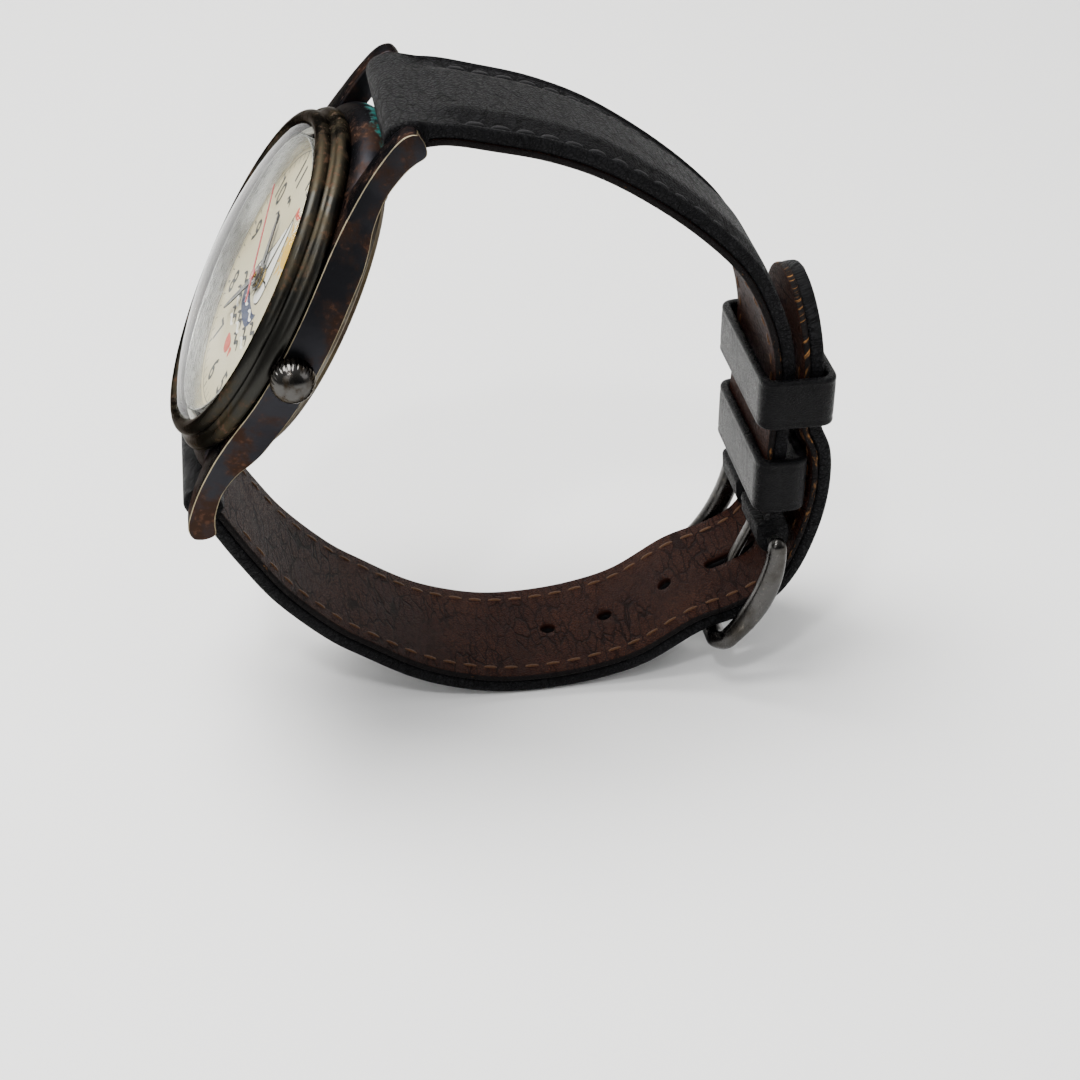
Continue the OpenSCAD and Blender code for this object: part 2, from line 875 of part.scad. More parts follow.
// Rectangle with round corners, about its middle
module rounded(size, r) {
  square([size[0] - 2 * r, size[1]], center = true);
  square([size[0], size[1] - 2 * r], center = true);
  for (sx = [-1, 1], sy = [-1, 1])
    translate([sx * (size[0] / 2 - r), sy * (size[1] / 2 - r)]) circle(r, $fn = 48);
}

keeper_corner = 1.2;
keeper_inner_corner = 0.4;

// Loop of leather round the strap, between two x and about a height z
module keeper(x0, x1, half_w, z, length, wall) {
  translate([(x0 + x1) / 2, 0, z - length / 2])
    linear_extrude(length)
      difference() {
        rounded([x1 - x0, 2 * half_w], keeper_corner);
        rounded([x1 - x0 - 2 * wall, 2 * (half_w - wall)], keeper_inner_corner);
      }
}

module fixed_keeper() { color("#1d1d1d") keeper(21.5, 27, 9.1, -8.2, 6, 1); }
module floating_keeper() { color("#1d1d1d") keeper(21.3, 29.2, 9.4, 1.5, keeper_len, 0.95); }

arm_t = 1.9;
arm_chord = front_bar - hinge_bar;
arm_turn = atan2(arm_chord[1], arm_chord[0]);
arm_len = norm(arm_chord);
arm_rise = 1.5;
arm_curve = (arm_len * arm_len / 4 + arm_rise * arm_rise) / (2 * arm_rise);
arm_half = asin(arm_len / 2 / arm_curve);

// Drawn from the hinge bar along the buckle, with y outwards from the wrist
module on_buckle() {
  translate([hinge_bar[0], 0, hinge_bar[1]]) rotate([0, -arm_turn, 0]) rotate([90, 0, 0]) children();
}

module buckle_frame() {
  color("#77787a")
    on_buckle() {
      for (s = [-1, 1])
        translate([0, 0, s * (buckle_w - arm_t) / 2])
          difference() {
            union() {
              linear_extrude(arm_t, center = true)
                polygon(concat(
                  arc([arm_len / 2, arm_rise - arm_curve], arm_curve + 0.85,
                      90 + arm_half, 90 - arm_half, 16),
                  arc([arm_len / 2, arm_rise - arm_curve], arm_curve - 0.85,
                      90 - arm_half, 90 + arm_half, 16)));
              cylinder(r = 1.15, h = arm_t, center = true, $fn = 48);
              translate([arm_len, 0, 0])
                cylinder(r = front_bar_r, h = arm_t, center = true, $fn = 48);
            }
            cylinder(r = 0.43, h = 5, center = true, $fn = 32);
          }
      translate([arm_len, 0, 0])
        cylinder(r = front_bar_r, h = buckle_w - arm_t, center = true, $fn = 48);
    }
}

// Flat pin round the hinge bar that lies on the front bar
module buckle_tongue() {
  gap = front_bar_r + 0.06;
  tongue_w = 1.5;
  color("#77787a")
    on_buckle()
      difference() {
        union() {
          cylinder(r = 1.35, h = tongue_w, center = true, $fn = 48);
          linear_extrude(tongue_w, center = true)
            polygon([
              [0, 1.2], [arm_len * 0.55, 1.75], [arm_len * 0.85, gap + 0.95],
              [arm_len + 0.7, gap + 0.75], [arm_len + 1.5, gap - 0.15],
              [arm_len + 0.9, gap - 0.25], [arm_len + 0.3, gap],
              [arm_len * 0.85, gap], [arm_len * 0.55, 0.75], [0, -0.2]
            ]);
        }
        cylinder(r = 0.75, h = 5, center = true, $fn = 48);
      }
}

case_middle();
bezel();
crystal();
crystal_gasket();
reflector_ring();
dial();
movement_ring();
case_back();
back_gasket();
crown_tube();
crown();
crown_gasket();
winding_stem();
hour_hand();
minute_hand();
second_hand();
main_plate();
barrel_bridge();
train_bridge();
balance_cock();
pallet_bridge();
train_jewels();
movement_screws();
barrel_drum();
barrel_cover();
mainspring();
barrel_arbor();
ratchet_wheel();
crown_wheel();
click();
click_spring();
center_wheel();
third_wheel();
fourth_wheel();
escape_wheel();
pallet_fork();
pallet_stones();
balance_wheel();
balance_staff();
hairspring();
regulator();
cannon_pinion();
minute_wheel();
hour_wheel();
winding_pinion();
sliding_pinion();
setting_lever();
yoke();
spring_bar_12();
spring_bar_6();
buckle_bar();
strap_upper();
strap_upper_lining();
strap_lower();
strap_lower_lining();
fixed_keeper();
floating_keeper();
buckle_frame();
buckle_tongue();
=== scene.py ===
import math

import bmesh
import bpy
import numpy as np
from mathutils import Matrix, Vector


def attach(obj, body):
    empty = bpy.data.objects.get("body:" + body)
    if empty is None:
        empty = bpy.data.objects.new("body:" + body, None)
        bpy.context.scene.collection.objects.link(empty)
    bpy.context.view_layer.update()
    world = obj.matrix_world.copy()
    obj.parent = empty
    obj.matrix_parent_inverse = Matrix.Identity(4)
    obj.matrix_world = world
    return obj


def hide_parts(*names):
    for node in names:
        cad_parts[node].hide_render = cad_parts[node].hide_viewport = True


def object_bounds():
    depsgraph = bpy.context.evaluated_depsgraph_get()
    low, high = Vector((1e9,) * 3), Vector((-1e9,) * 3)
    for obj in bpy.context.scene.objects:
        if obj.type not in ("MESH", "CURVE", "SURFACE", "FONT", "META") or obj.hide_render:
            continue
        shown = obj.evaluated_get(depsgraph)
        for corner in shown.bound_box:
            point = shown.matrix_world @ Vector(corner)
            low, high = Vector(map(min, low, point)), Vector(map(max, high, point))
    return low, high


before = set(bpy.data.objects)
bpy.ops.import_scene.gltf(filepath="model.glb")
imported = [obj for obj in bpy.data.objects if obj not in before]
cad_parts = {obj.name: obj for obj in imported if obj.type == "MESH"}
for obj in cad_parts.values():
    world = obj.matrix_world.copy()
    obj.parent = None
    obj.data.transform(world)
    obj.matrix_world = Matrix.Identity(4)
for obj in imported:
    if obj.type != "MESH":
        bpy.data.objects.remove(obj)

# Looks of a hand-wound wristwatch that stands buckled into a loop.
# The frame is in metres: +X from the dial towards the buckle, +Y along the wrist and away
# from the crown, +Z up. The room's sizes are in metres too. Sizes of the watch's pieces are
# in millimetres, and their points are turned into metres as each piece is made.

mm = 0.001
cad_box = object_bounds()

# ---------------------------------------------------------------- room
# A pale matt table and wall, one large soft window light, two weak fills and a thin strip.
# The camera stands at the crown's side, above the watch and a little before the dial.

scene = bpy.context.scene
eye = Vector((-27.76, -175.83, 101.55)) * mm
aim = Vector((0.70, 0.0, -18.02)) * mm
camera = bpy.data.objects.new("camera", bpy.data.cameras.new("camera"))
camera.location = eye
camera.rotation_euler = (aim - eye).to_track_quat("-Z", "Y").to_euler()
camera.data.lens = 67.2
camera.data.sensor_width = 36.0
camera.data.clip_start = 0.005
camera.data.clip_end = 10.0
scene.collection.objects.link(camera)
scene.camera = camera

# The room is bright above and behind the watch and dim on the camera's side
world = bpy.data.worlds.new("room")
world.use_nodes = True
sky = world.node_tree
sky_axes = sky.nodes.new("ShaderNodeSeparateXYZ")
sky.links.new(sky.nodes.new("ShaderNodeTexCoord").outputs["Generated"], sky_axes.inputs[0])
sky_lean = sky.nodes.new("ShaderNodeMath")
sky_lean.operation = "MULTIPLY_ADD"
sky.links.new(sky_axes.outputs["Z"], sky_lean.inputs[0])
sky.links.new(sky_axes.outputs["Y"], sky_lean.inputs[2])
sky_lean.inputs[1].default_value = 0.75
sky_spread = sky.nodes.new("ShaderNodeMapRange")
sky.links.new(sky_lean.outputs[0], sky_spread.inputs["Value"])
for label, value in (("From Min", -0.8), ("From Max", 0.9), ("To Min", 0.10), ("To Max", 0.85)):
    sky_spread.inputs[label].default_value = value
background = sky.nodes["Background"]
background.inputs["Color"].default_value = (0.98, 0.99, 1.0, 1)
sky.links.new(sky_spread.outputs[0], background.inputs["Strength"])
scene.world = world


def soft_light(name, place, towards, size, power, colour=(1, 1, 1)):
    """A square soft box of that size at one point in metres, facing another."""
    data = bpy.data.lights.new(name, "AREA")
    data.shape = "SQUARE"
    data.size = size
    data.energy = power
    data.color = colour
    lamp = bpy.data.objects.new(name, data)
    lamp.location = place
    lamp.rotation_euler = (Vector(towards) - Vector(place)).to_track_quat("-Z", "Y").to_euler()
    scene.collection.objects.link(lamp)


soft_light("window", (-0.20, 0.10, 0.62), (0, 0, 0), 0.42, 9.5, (1.0, 0.99, 0.97))
soft_light("crown_side_fill", (-0.30, -0.45, 0.30), (0, 0, 0), 0.30, 0.7)
soft_light("buckle_side_fill", (0.50, -0.20, 0.30), (0, 0, 0), 0.35, 0.7)
soft_light("strip", (-0.12, -0.22, 0.34), (-0.02, 0, 0.01), 0.035, 0.55)


def node(tree, kind, values=None, **settings):
    """Adds a shader node, with settings on it and values or links on its inputs."""
    made = tree.nodes.new("ShaderNode" + kind)
    for key, value in settings.items():
        setattr(made, key, value)
    for key, value in (values or {}).items():
        if isinstance(value, bpy.types.NodeSocket):
            tree.links.new(value, made.inputs[key])
        else:
            made.inputs[key].default_value = value
    return made


def noise(tree, at, scale, detail, roughness=0.5):
    """Cloudy value between 0 and 1 over the given coordinates."""
    return node(tree, "TexNoise", {"Vector": at, "Scale": scale, "Detail": detail,
                                   "Roughness": roughness}).outputs["Fac"]


def new_finish(name, colour=(0.5, 0.5, 0.5), metallic=0.0, roughness=0.5, **sockets):
    """A material with its Principled BSDF set to plain values. Returns all three."""
    material = bpy.data.materials.new(name)
    material.use_nodes = True
    tree = material.node_tree
    bsdf = tree.nodes["Principled BSDF"]
    bsdf.inputs["Base Color"].default_value = (*colour, 1)
    bsdf.inputs["Metallic"].default_value = metallic
    bsdf.inputs["Roughness"].default_value = roughness
    for key, value in sockets.items():
        bsdf.inputs[key.replace("_", " ")].default_value = value
    return material, tree, bsdf


def blend_colours(tree, factor, first, second):
    """Colour that goes from first to second with the factor."""
    mix = node(tree, "Mix", data_type="RGBA")
    for socket, value in ((mix.inputs[0], factor), (mix.inputs[6], first), (mix.inputs[7], second)):
        if isinstance(value, bpy.types.NodeSocket):
            tree.links.new(value, socket)
        elif isinstance(value, tuple):
            socket.default_value = (*value, 1)
        else:
            socket.default_value = value
    return mix.outputs[2]


floor_finish, tree, bsdf = new_finish("table_paint", (0.9, 0.9, 0.9), 0.0, 0.62)
where = node(tree, "TexCoord").outputs["Object"]
cloud = noise(tree, where, 9.0, 4.0)
tree.links.new(blend_colours(tree, cloud, (0.90, 0.90, 0.895), (0.94, 0.94, 0.935)),
               bsdf.inputs["Base Color"])
# Table and wall in one sheet: flat up to the wall, then a quarter round, then upright
table_reach, wall_start, cove_r, ground = 3.0, 0.42, 0.15, cad_box[0][2] - 0.0002
cove = np.linspace(0.1, 1.5, 16)
run = np.concatenate([np.linspace(-table_reach, wall_start, 40), wall_start + cove_r * np.sin(cove),
                      np.full(12, wall_start + cove_r)])
rise = np.concatenate([np.zeros(40), cove_r - cove_r * np.cos(cove), np.linspace(0.16, 1.0, 12)])
sheet = np.stack(np.broadcast_arrays(np.linspace(-table_reach, table_reach, 60), run[:, None],
                                     rise[:, None] + ground), -1)


def grid_piece(name, P, finish, along=False, around=False, uv=None, marks=None):
    """Mesh over the grid of points P[i, j], in metres.

    Each cell of the grid is one quad. 'along' joins the last row to the first and 'around'
    the last column to the first. uv holds a pair for each corner of each cell, so it has one
    row and one column more where the grid closes. marks are named values per point.
    Points that fall together are merged, which closes the poles, and faces turn outwards.
    """
    rows, columns = P.shape[:2]
    i, j = np.meshgrid(np.arange(rows if along else rows - 1),
                       np.arange(columns if around else columns - 1), indexing="ij")
    corners = [(i, j), (i + 1, j), (i + 1, j + 1), (i, j + 1)]
    faces = np.stack([(a % rows) * columns + b % columns for a, b in corners], -1).reshape(-1, 4)
    mesh = bpy.data.meshes.new(name)
    mesh.from_pydata(P.reshape(-1, 3).tolist(), [], faces.tolist())
    if uv is not None:
        layer = mesh.uv_layers.new(name="UVMap")
        spread = np.stack([uv[a, b] for a, b in corners], 2).reshape(-1)
        layer.data.foreach_set("uv", spread.astype(np.float32))
    for label, values in (marks or {}).items():
        mark = mesh.attributes.new(label, "FLOAT", "POINT")
        mark.data.foreach_set("value", np.ascontiguousarray(values, np.float32).reshape(-1))
    work = bmesh.new()
    work.from_mesh(mesh)
    bmesh.ops.remove_doubles(work, verts=work.verts, dist=2e-7)
    bmesh.ops.recalc_face_normals(work, faces=work.faces)
    work.to_mesh(mesh)
    work.free()
    mesh.polygons.foreach_set("use_smooth", np.ones(len(mesh.polygons), bool))
    mesh.materials.append(finish)
    piece = bpy.data.objects.new(name, mesh)
    scene.collection.objects.link(piece)
    return piece


grid_piece("table", sheet, floor_finish)

# ---------------------------------------------------------------- case
# The middle of the case: a ring bored through for the movement, with a flank down each
# side that runs out into two down-turned lugs. Base metal plated gunmetal, worn through to
# a pale brassy metal along the edges, stained brown, and green between the upper lugs.

lean = math.radians(30.0)


def on_case(x, y, z):
    """Row metres of case points: x to 3 o'clock, y to 12, z out of the dial, in mm."""
    s, c = math.sin(lean), math.cos(lean)
    x, y, z = np.broadcast_arrays(x, y, z)
    return np.stack([-28 + s * y - c * z, -x, 16 + c * y + s * z], -1) * mm


def eased_corners(points, radii, steps=6, closed=True):
    """Outline with each corner of a polygon replaced by a short curve.

    Each curve is a quadratic one from a point 'radius' before the corner to a point as far
    after it, pulled to the corner. The second result is 1 on the curves and 0 elsewhere.
    """
    p = np.asarray(points, float)
    t = np.linspace(0, 1, steps)[:, None]
    line, edge = [], []
    for k in range(len(p)):
        before, here, after = p[k - 1], p[k], p[(k + 1) % len(p)]
        if radii[k] <= 0 or (not closed and k in (0, len(p) - 1)):
            line.append(here[None]), edge.append(np.zeros(1))
            continue
        a = here + (before - here) / np.linalg.norm(before - here) * radii[k]
        b = here + (after - here) / np.linalg.norm(after - here) * radii[k]
        line.append((1 - t) ** 2 * a + 2 * t * (1 - t) * here + t ** 2 * b)
        edge.append(np.sin(np.pi * t[:, 0]) ** 0.5)
    return np.concatenate(line), np.concatenate(edge)


def arc_line(c, r, a0, a1, n):
    """Points on an arc, in degrees."""
    a = np.radians(np.linspace(a0, a1, n))
    return np.stack([c[0] + r * np.cos(a), c[1] + r * np.sin(a)], -1)


def close_ends(piece):
    """Fills the open ends of a tube, then turns all faces outwards."""
    work = bmesh.new()
    work.from_mesh(piece.data)
    rims = [e for e in work.edges if e.is_boundary]
    bmesh.ops.holes_fill(work, edges=rims, sides=0)
    bmesh.ops.recalc_face_normals(work, faces=work.faces)
    work.to_mesh(piece.data)
    work.free()


def turned(name, outline, finish, steps=192, edge=None, closed=True):
    """Round piece: an outline of radius and height carried once round the dial's axis."""
    a = np.linspace(0, 2 * np.pi, steps, endpoint=False)[:, None]
    r, h = outline[None, :, 0], outline[None, :, 1]
    P = on_case(r * np.cos(a), r * np.sin(a), h + 0 * a)
    d = np.concatenate([[0], np.cumsum(np.linalg.norm(np.diff(outline, axis=0), axis=1))])
    if closed:
        d = np.append(d, d[-1] + np.linalg.norm(outline[0] - outline[-1]))
    u = np.linspace(0, 2 * np.pi * 16, steps + 1)[:, None]
    uv = np.stack(np.broadcast_arrays(u, d[None]), -1) * 0.1
    marks = None if edge is None else {"edge": np.repeat(edge[None], steps, 0)}
    return grid_piece(name, P, finish, along=True, around=closed, uv=uv, marks=marks)


def ramp(tree, value, low, high, to_low=0.0, to_high=1.0):
    """Value carried from low..high to to_low..to_high, clamped, with eased ends."""
    made = node(tree, "MapRange", {"Value": value, "From Min": low, "From Max": high,
                                   "To Min": to_low, "To Max": to_high},
                interpolation_type="SMOOTHSTEP")
    return made.outputs[0]


def sums(tree, operation, a, b=0.0):
    """One Math node on two numbers or sockets."""
    made = node(tree, "Math", operation=operation)
    for socket, value in ((made.inputs[0], a), (made.inputs[1], b)):
        if isinstance(value, bpy.types.NodeSocket):
            tree.links.new(value, socket)
        else:
            socket.default_value = value
    return made.outputs[0]


def new_group(name, inputs, outputs):
    """An empty node group with sockets given as name and type. Returns tree, in and out."""
    tree = bpy.data.node_groups.new(name, "ShaderNodeTree")
    for label, kind, default in inputs:
        socket = tree.interface.new_socket(label, in_out="INPUT", socket_type="NodeSocket" + kind)
        if default is not None:
            socket.default_value = default
    for label, kind in outputs:
        tree.interface.new_socket(label, in_out="OUTPUT", socket_type="NodeSocket" + kind)
    return tree, tree.nodes.new("NodeGroupInput"), tree.nodes.new("NodeGroupOutput")


def place_group(tree, group, values):
    """Puts a node group in a material with its own values."""
    made = tree.nodes.new("ShaderNodeGroup")
    made.node_tree = group
    for key, value in values.items():
        if isinstance(value, bpy.types.NodeSocket):
            tree.links.new(value, made.inputs[key])
        else:
            made.inputs[key].default_value = value
    return made


def bump(tree, bsdf, height, depth):
    """Height in 0..1 as a relief of that depth in metres on the shader's normal."""
    relief = node(tree, "Bump", {"Height": height, "Distance": depth})
    tree.links.new(relief.outputs["Normal"], bsdf.inputs["Normal"])


# Worn plating: patches, fine specks and a rub mask along the edges
wear, inside, outside = new_group(
    "worn_plating",
    [("Vector", "Vector", None), ("Edge", "Float", 0.0), ("Rub", "Float", 0.5)],
    [("Patches", "Float"), ("Specks", "Float"), ("Rubbed", "Float"), ("Relief", "Float")])
at = inside.outputs["Vector"]
broad = node(wear, "TexNoise", {"Vector": at, "Scale": 210.0, "Detail": 6.0, "Roughness": 0.62})
fine = node(wear, "TexNoise", {"Vector": at, "Scale": 1500.0, "Detail": 5.0, "Roughness": 0.7})
grit = node(wear, "TexVoronoi", {"Vector": at, "Scale": 1900.0})
streak = node(wear, "TexNoise", {"Vector": at, "Scale": 620.0, "Detail": 8.0, "Distortion": 1.2})
wear.links.new(ramp(wear, broad.outputs["Fac"], 0.45, 0.62), outside.inputs["Patches"])
wear.links.new(ramp(wear, sums(wear, "ADD", fine.outputs["Fac"],
                               sums(wear, "MULTIPLY", grit.outputs["Distance"], -0.22)),
                    0.40, 0.56), outside.inputs["Specks"])
loose = sums(wear, "ADD", sums(wear, "MULTIPLY", inside.outputs["Edge"], 0.85),
             sums(wear, "MULTIPLY", streak.outputs["Fac"], inside.outputs["Rub"]))
wear.links.new(ramp(wear, loose, 0.80, 1.02), outside.inputs["Rubbed"])
wear.links.new(sums(wear, "ADD", sums(wear, "MULTIPLY", fine.outputs["Fac"], 0.6),
                    sums(wear, "MULTIPLY", broad.outputs["Fac"], 0.6)), outside.inputs["Relief"])


def plated(name, dark, stain, bare, rub, roughness, relief, green=False):
    """Gunmetal plating on brass: dark, stained in patches and rubbed bare on the edges.

    With green, a blue-green deposit lies between the upper lugs."""
    material, tree, bsdf = new_finish(name, dark, 1.0, roughness,
                                      Specular_Tint=(0.30, 0.28, 0.26, 1))
    where = node(tree, "TexCoord").outputs["Object"]
    edge = node(tree, "Attribute", attribute_name="edge").outputs["Fac"]
    worn = place_group(tree, wear, {"Vector": where, "Edge": edge, "Rub": rub}).outputs
    colour = blend_colours(tree, sums(tree, "MULTIPLY", worn["Patches"], 0.75), dark, stain)
    pitted = sums(tree, "MULTIPLY", worn["Specks"], worn["Patches"])
    colour = blend_colours(tree, sums(tree, "MULTIPLY", pitted, 0.6), colour, (0.085, 0.036, 0.018))
    colour = blend_colours(tree, worn["Rubbed"], colour, bare)
    gloss = ramp(tree, worn["Patches"], 0.0, 1.0, roughness, roughness + 0.22)
    gloss = sums(tree, "ADD", gloss, sums(tree, "MULTIPLY", pitted, 0.15))
    metal = ramp(tree, pitted, 0.0, 1.0, 1.0, 0.55)
    if green:
        spot = node(tree, "Mapping", {"Vector": where, "Location": tuple(on_case(-1.0, 18.7, -5.4)),
                                      "Scale": (0.0016, 0.0070, 0.0016)}, vector_type="TEXTURE")
        far = node(tree, "VectorMath", {0: spot.outputs[0]}, operation="LENGTH").outputs["Value"]
        crust = noise(tree, where, 900.0, 6.0, 0.7)
        deposit = ramp(tree, sums(tree, "SUBTRACT", sums(tree, "MULTIPLY", crust, 1.7), far),
                       -0.15, 0.25)
        tone = blend_colours(tree, ramp(tree, crust, 0.35, 0.65), (0.0, 0.010, 0.010), (0.004, 0.10, 0.09))
        colour = blend_colours(tree, deposit, colour, tone)
        gloss = sums(tree, "ADD", gloss, sums(tree, "MULTIPLY", deposit, 0.5))
        metal = sums(tree, "MULTIPLY", metal, sums(tree, "SUBTRACT", 1.0, deposit))
    tree.links.new(colour, bsdf.inputs["Base Color"])
    tree.links.new(gloss, bsdf.inputs["Roughness"])
    tree.links.new(metal, bsdf.inputs["Metallic"])
    bump(tree, bsdf, worn["Relief"], relief)
    return material


case_plating = plated("case_plating", (0.020, 0.020, 0.023), (0.036, 0.019, 0.012),
                      (0.30, 0.255, 0.17), 0.46, 0.42, 0.00003, green=True)

ring_line, ring_edge = eased_corners(
    [[14.6, -2.9], [15.5, -2.9], [15.5, -2.75], [17.0, -2.75], [17.15, -3.0], [17.15, -6.1],
     [16.9, -6.3], [14.6, -6.3]],
    [0.05, 0, 0, 0.3, 0.2, 0.2, 0.2, 0.05])
case_ring = turned("case_ring", ring_line, case_plating, 256, ring_edge * 0.55)

# One flank: sections from the 6 o'clock lug's tip round the side to the 12 o'clock lug's
half = np.array([0, 3, 6, 8.5, 10.4, 11.6, 12.6, 13.8, 15.4, 17.2, 18.8, 20.2, 21.3, 22.2, 22.75,
                 22.95])
top = np.array([-2.78, -2.78, -2.8, -2.82, -2.84, -2.87, -2.9, -2.97, -3.08, -3.25, -3.46, -3.72,
                -3.98, -4.35, -4.85, -5.3])
low_at = np.array([0, 3, 6, 8.5, 10.2, 11.3, 12.3, 13.6, 15.2, 16.9, 18.3, 19.5, 20.5, 21.6, 22.5,
                   22.9])
low = np.array([-6.3, -6.3, -6.3, -6.3, -6.28, -6.14, -5.95, -5.62, -5.42, -5.42, -5.66, -5.98,
                -6.4, -6.95, -6.35, -5.6])


def evenly(values, count):
    """Values at even steps along a smooth curve through the given ones.

    Each span is a cubic whose slope at a given value is half the step between its neighbours.
    """
    t = np.linspace(0, len(values) - 1, count)
    i = np.clip(t.astype(int), 0, len(values) - 2)
    f = t - i
    p = [values[np.clip(i + o, 0, len(values) - 1)] for o in (-1, 0, 1, 2)]
    return 0.5 * (2 * p[1] + (p[2] - p[0]) * f + (2 * p[0] - 5 * p[1] + 4 * p[2] - p[3]) * f ** 2
                  + (3 * p[1] - p[0] - 3 * p[2] + p[3]) * f ** 3)


def flank_side(y):
    """Distance of the flank's outer side from the case's middle line, at a height y."""
    y = np.abs(y)
    lug = np.interp(y, [7.6, 10.6, 13.7, 16.8, 20.0, 23.2], [15.45, 14.2, 13.1, 12.3, 11.8, 11.5])
    barrel = np.sqrt(np.clip(17.22 ** 2 - y ** 2, 0, None))
    return np.maximum(lug * (y > 7), barrel)


tops = np.stack([evenly(half, 78), evenly(top, 78)], -1)
lows = np.stack([evenly(low_at, 78), evenly(low, 78)], -1)
tops = np.concatenate([tops[::-1] * [-1, 1], tops[1:]])
lows = np.concatenate([lows[::-1] * [-1, 1], lows[1:]])
bevel = 0.16
# Corners of a section: inner top, outer top, outer low, inner low, each with its curve
turn = np.linspace(0, np.pi / 2, 5)
corner_in = np.concatenate([-np.cos(turn), np.sin(turn), np.cos(turn), -np.sin(turn)])
corner_up = np.concatenate([np.sin(turn), np.cos(turn), -np.sin(turn), -np.cos(turn)])
side_of = np.repeat([-1, 1, 1, -1], 5)
up_of = np.repeat([1, 1, -1, -1], 5)
on_edge = np.tile(np.sin(2 * turn) ** 0.5, 4)


def flank(sign):
    """Grid of sections, each a rectangle with eased corners, between the top and low lines."""
    share = (up_of[None] + 1) / 2
    y = lows[:, None, 0] * (1 - share) + tops[:, None, 0] * share
    z = lows[:, None, 1] * (1 - share) + tops[:, None, 1] * share
    outer = flank_side(y)
    inner = np.where(np.abs(y) < 11.7, np.sqrt(np.clip(14.9 ** 2 - y ** 2, 9.2 ** 2, None)), 9.2)
    x = np.where(side_of[None] > 0, outer - bevel, inner + bevel) + corner_in[None] * bevel
    across = tops - lows
    away = across / np.linalg.norm(across, axis=1)[:, None]
    y = y + (corner_up - up_of)[None] * bevel * away[:, None, 0]
    z = z + (corner_up - up_of)[None] * bevel * away[:, None, 1]
    for end in (0, -1):
        middle = (tops[end] + lows[end]) / 2
        x[end], y[end], z[end] = x[end].mean(), middle[0], middle[1]
    return on_case(sign * x, y, z)


for sign, label in ((1, "crown_side"), (-1, "far_side")):
    P = flank(sign)
    rub = np.repeat(on_edge[None], len(P), 0) * (side_of[None] > 0)
    piece = grid_piece("case_flank_" + label, P, case_plating, around=True,
                       marks={"edge": rub})
    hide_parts("case_middle")
    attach(piece, "watch")

# Between each pair of lugs the case swells into a rounded shoulder
swell, swell_edge = eased_corners(
    np.concatenate([[[15.1, -6.3], [15.1, -2.8]], arc_line((17.2, -4.8), 2.0, 90, -20, 20),
                    [[18.6, -6.3]]]), [0, 0] + [0] * 20 + [0.2], 5)
shoulder_x = np.linspace(-9.4, 9.4, 60)[:, None]
shoulders = []
for sign, label in ((1, "upper"), (-1, "lower")):
    shoulder_y = sign * np.sqrt(swell[None, :, 0] ** 2 - shoulder_x ** 2)
    P = on_case(shoulder_x, shoulder_y, swell[None, :, 1])
    piece = grid_piece("case_shoulder_" + label, P, case_plating, around=True,
                       marks={"edge": np.repeat(0.5 * swell_edge[None], 60, 0)})
    close_ends(piece)
    shoulders.append(piece)
for piece in shoulders + [case_ring]:
    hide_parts("case_middle")
    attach(piece, "watch")

# ---------------------------------------------------------------- bezel
# A polished ring pressed on the neck of the case, rolled into two round steps. The same
# gunmetal plating, glossier, stained brown in patches.

bezel_plating = plated("bezel_plating", (0.024, 0.0235, 0.021), (0.040, 0.032, 0.019),
                       (0.20, 0.18, 0.13), 0.34, 0.33, 0.000012)
bezel_line = np.concatenate([
    [[15.6, -2.7], [15.6, -1.6], [15.25, -1.5], [15.22, -0.15]],
    arc_line((15.85, -0.6), 0.79, 138, -34, 22),
    arc_line((16.75, -2.0), 0.77, 64, -80, 20),
    [[16.8, -2.76]]])
crown_of_roll = np.concatenate([np.zeros(4), np.sin(np.linspace(0, np.pi, 22)) ** 6 * 0.45,
                                np.sin(np.linspace(0, np.pi, 20)) ** 6 * 0.45, [0]])
bezel_ring = turned("bezel_ring", bezel_line, bezel_plating, 320, crown_of_roll)
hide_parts("bezel")
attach(bezel_ring, "watch")

# ---------------------------------------------------------------- crystal
# Domed acrylic with a short skirt, pressed into the bezel on a nylon gasket. Clear, with
# fine scratches from wear.

glass = bpy.data.materials.new("crystal_acrylic")
glass.use_nodes = True
tree = glass.node_tree
bsdf = tree.nodes["Principled BSDF"]
bsdf.inputs["Base Color"].default_value = (0.97, 0.98, 0.975, 1)
bsdf.inputs["Transmission Weight"].default_value = 1.0
bsdf.inputs["IOR"].default_value = 1.49
where = node(tree, "TexCoord").outputs["Object"]
rubs = node(tree, "TexNoise", {"Vector": node(tree, "Mapping", {"Vector": where,
                                                              "Scale": (900, 260, 900)}).outputs[0],
                               "Scale": 1.0, "Detail": 9.0, "Roughness": 0.75}).outputs["Fac"]
haze = noise(tree, where, 160.0, 3.0)
tree.links.new(ramp(tree, sums(tree, "MULTIPLY", rubs, haze), 0.22, 0.42, 0.008, 0.05),
               bsdf.inputs["Roughness"])
bump(tree, bsdf, rubs, 0.0000012)
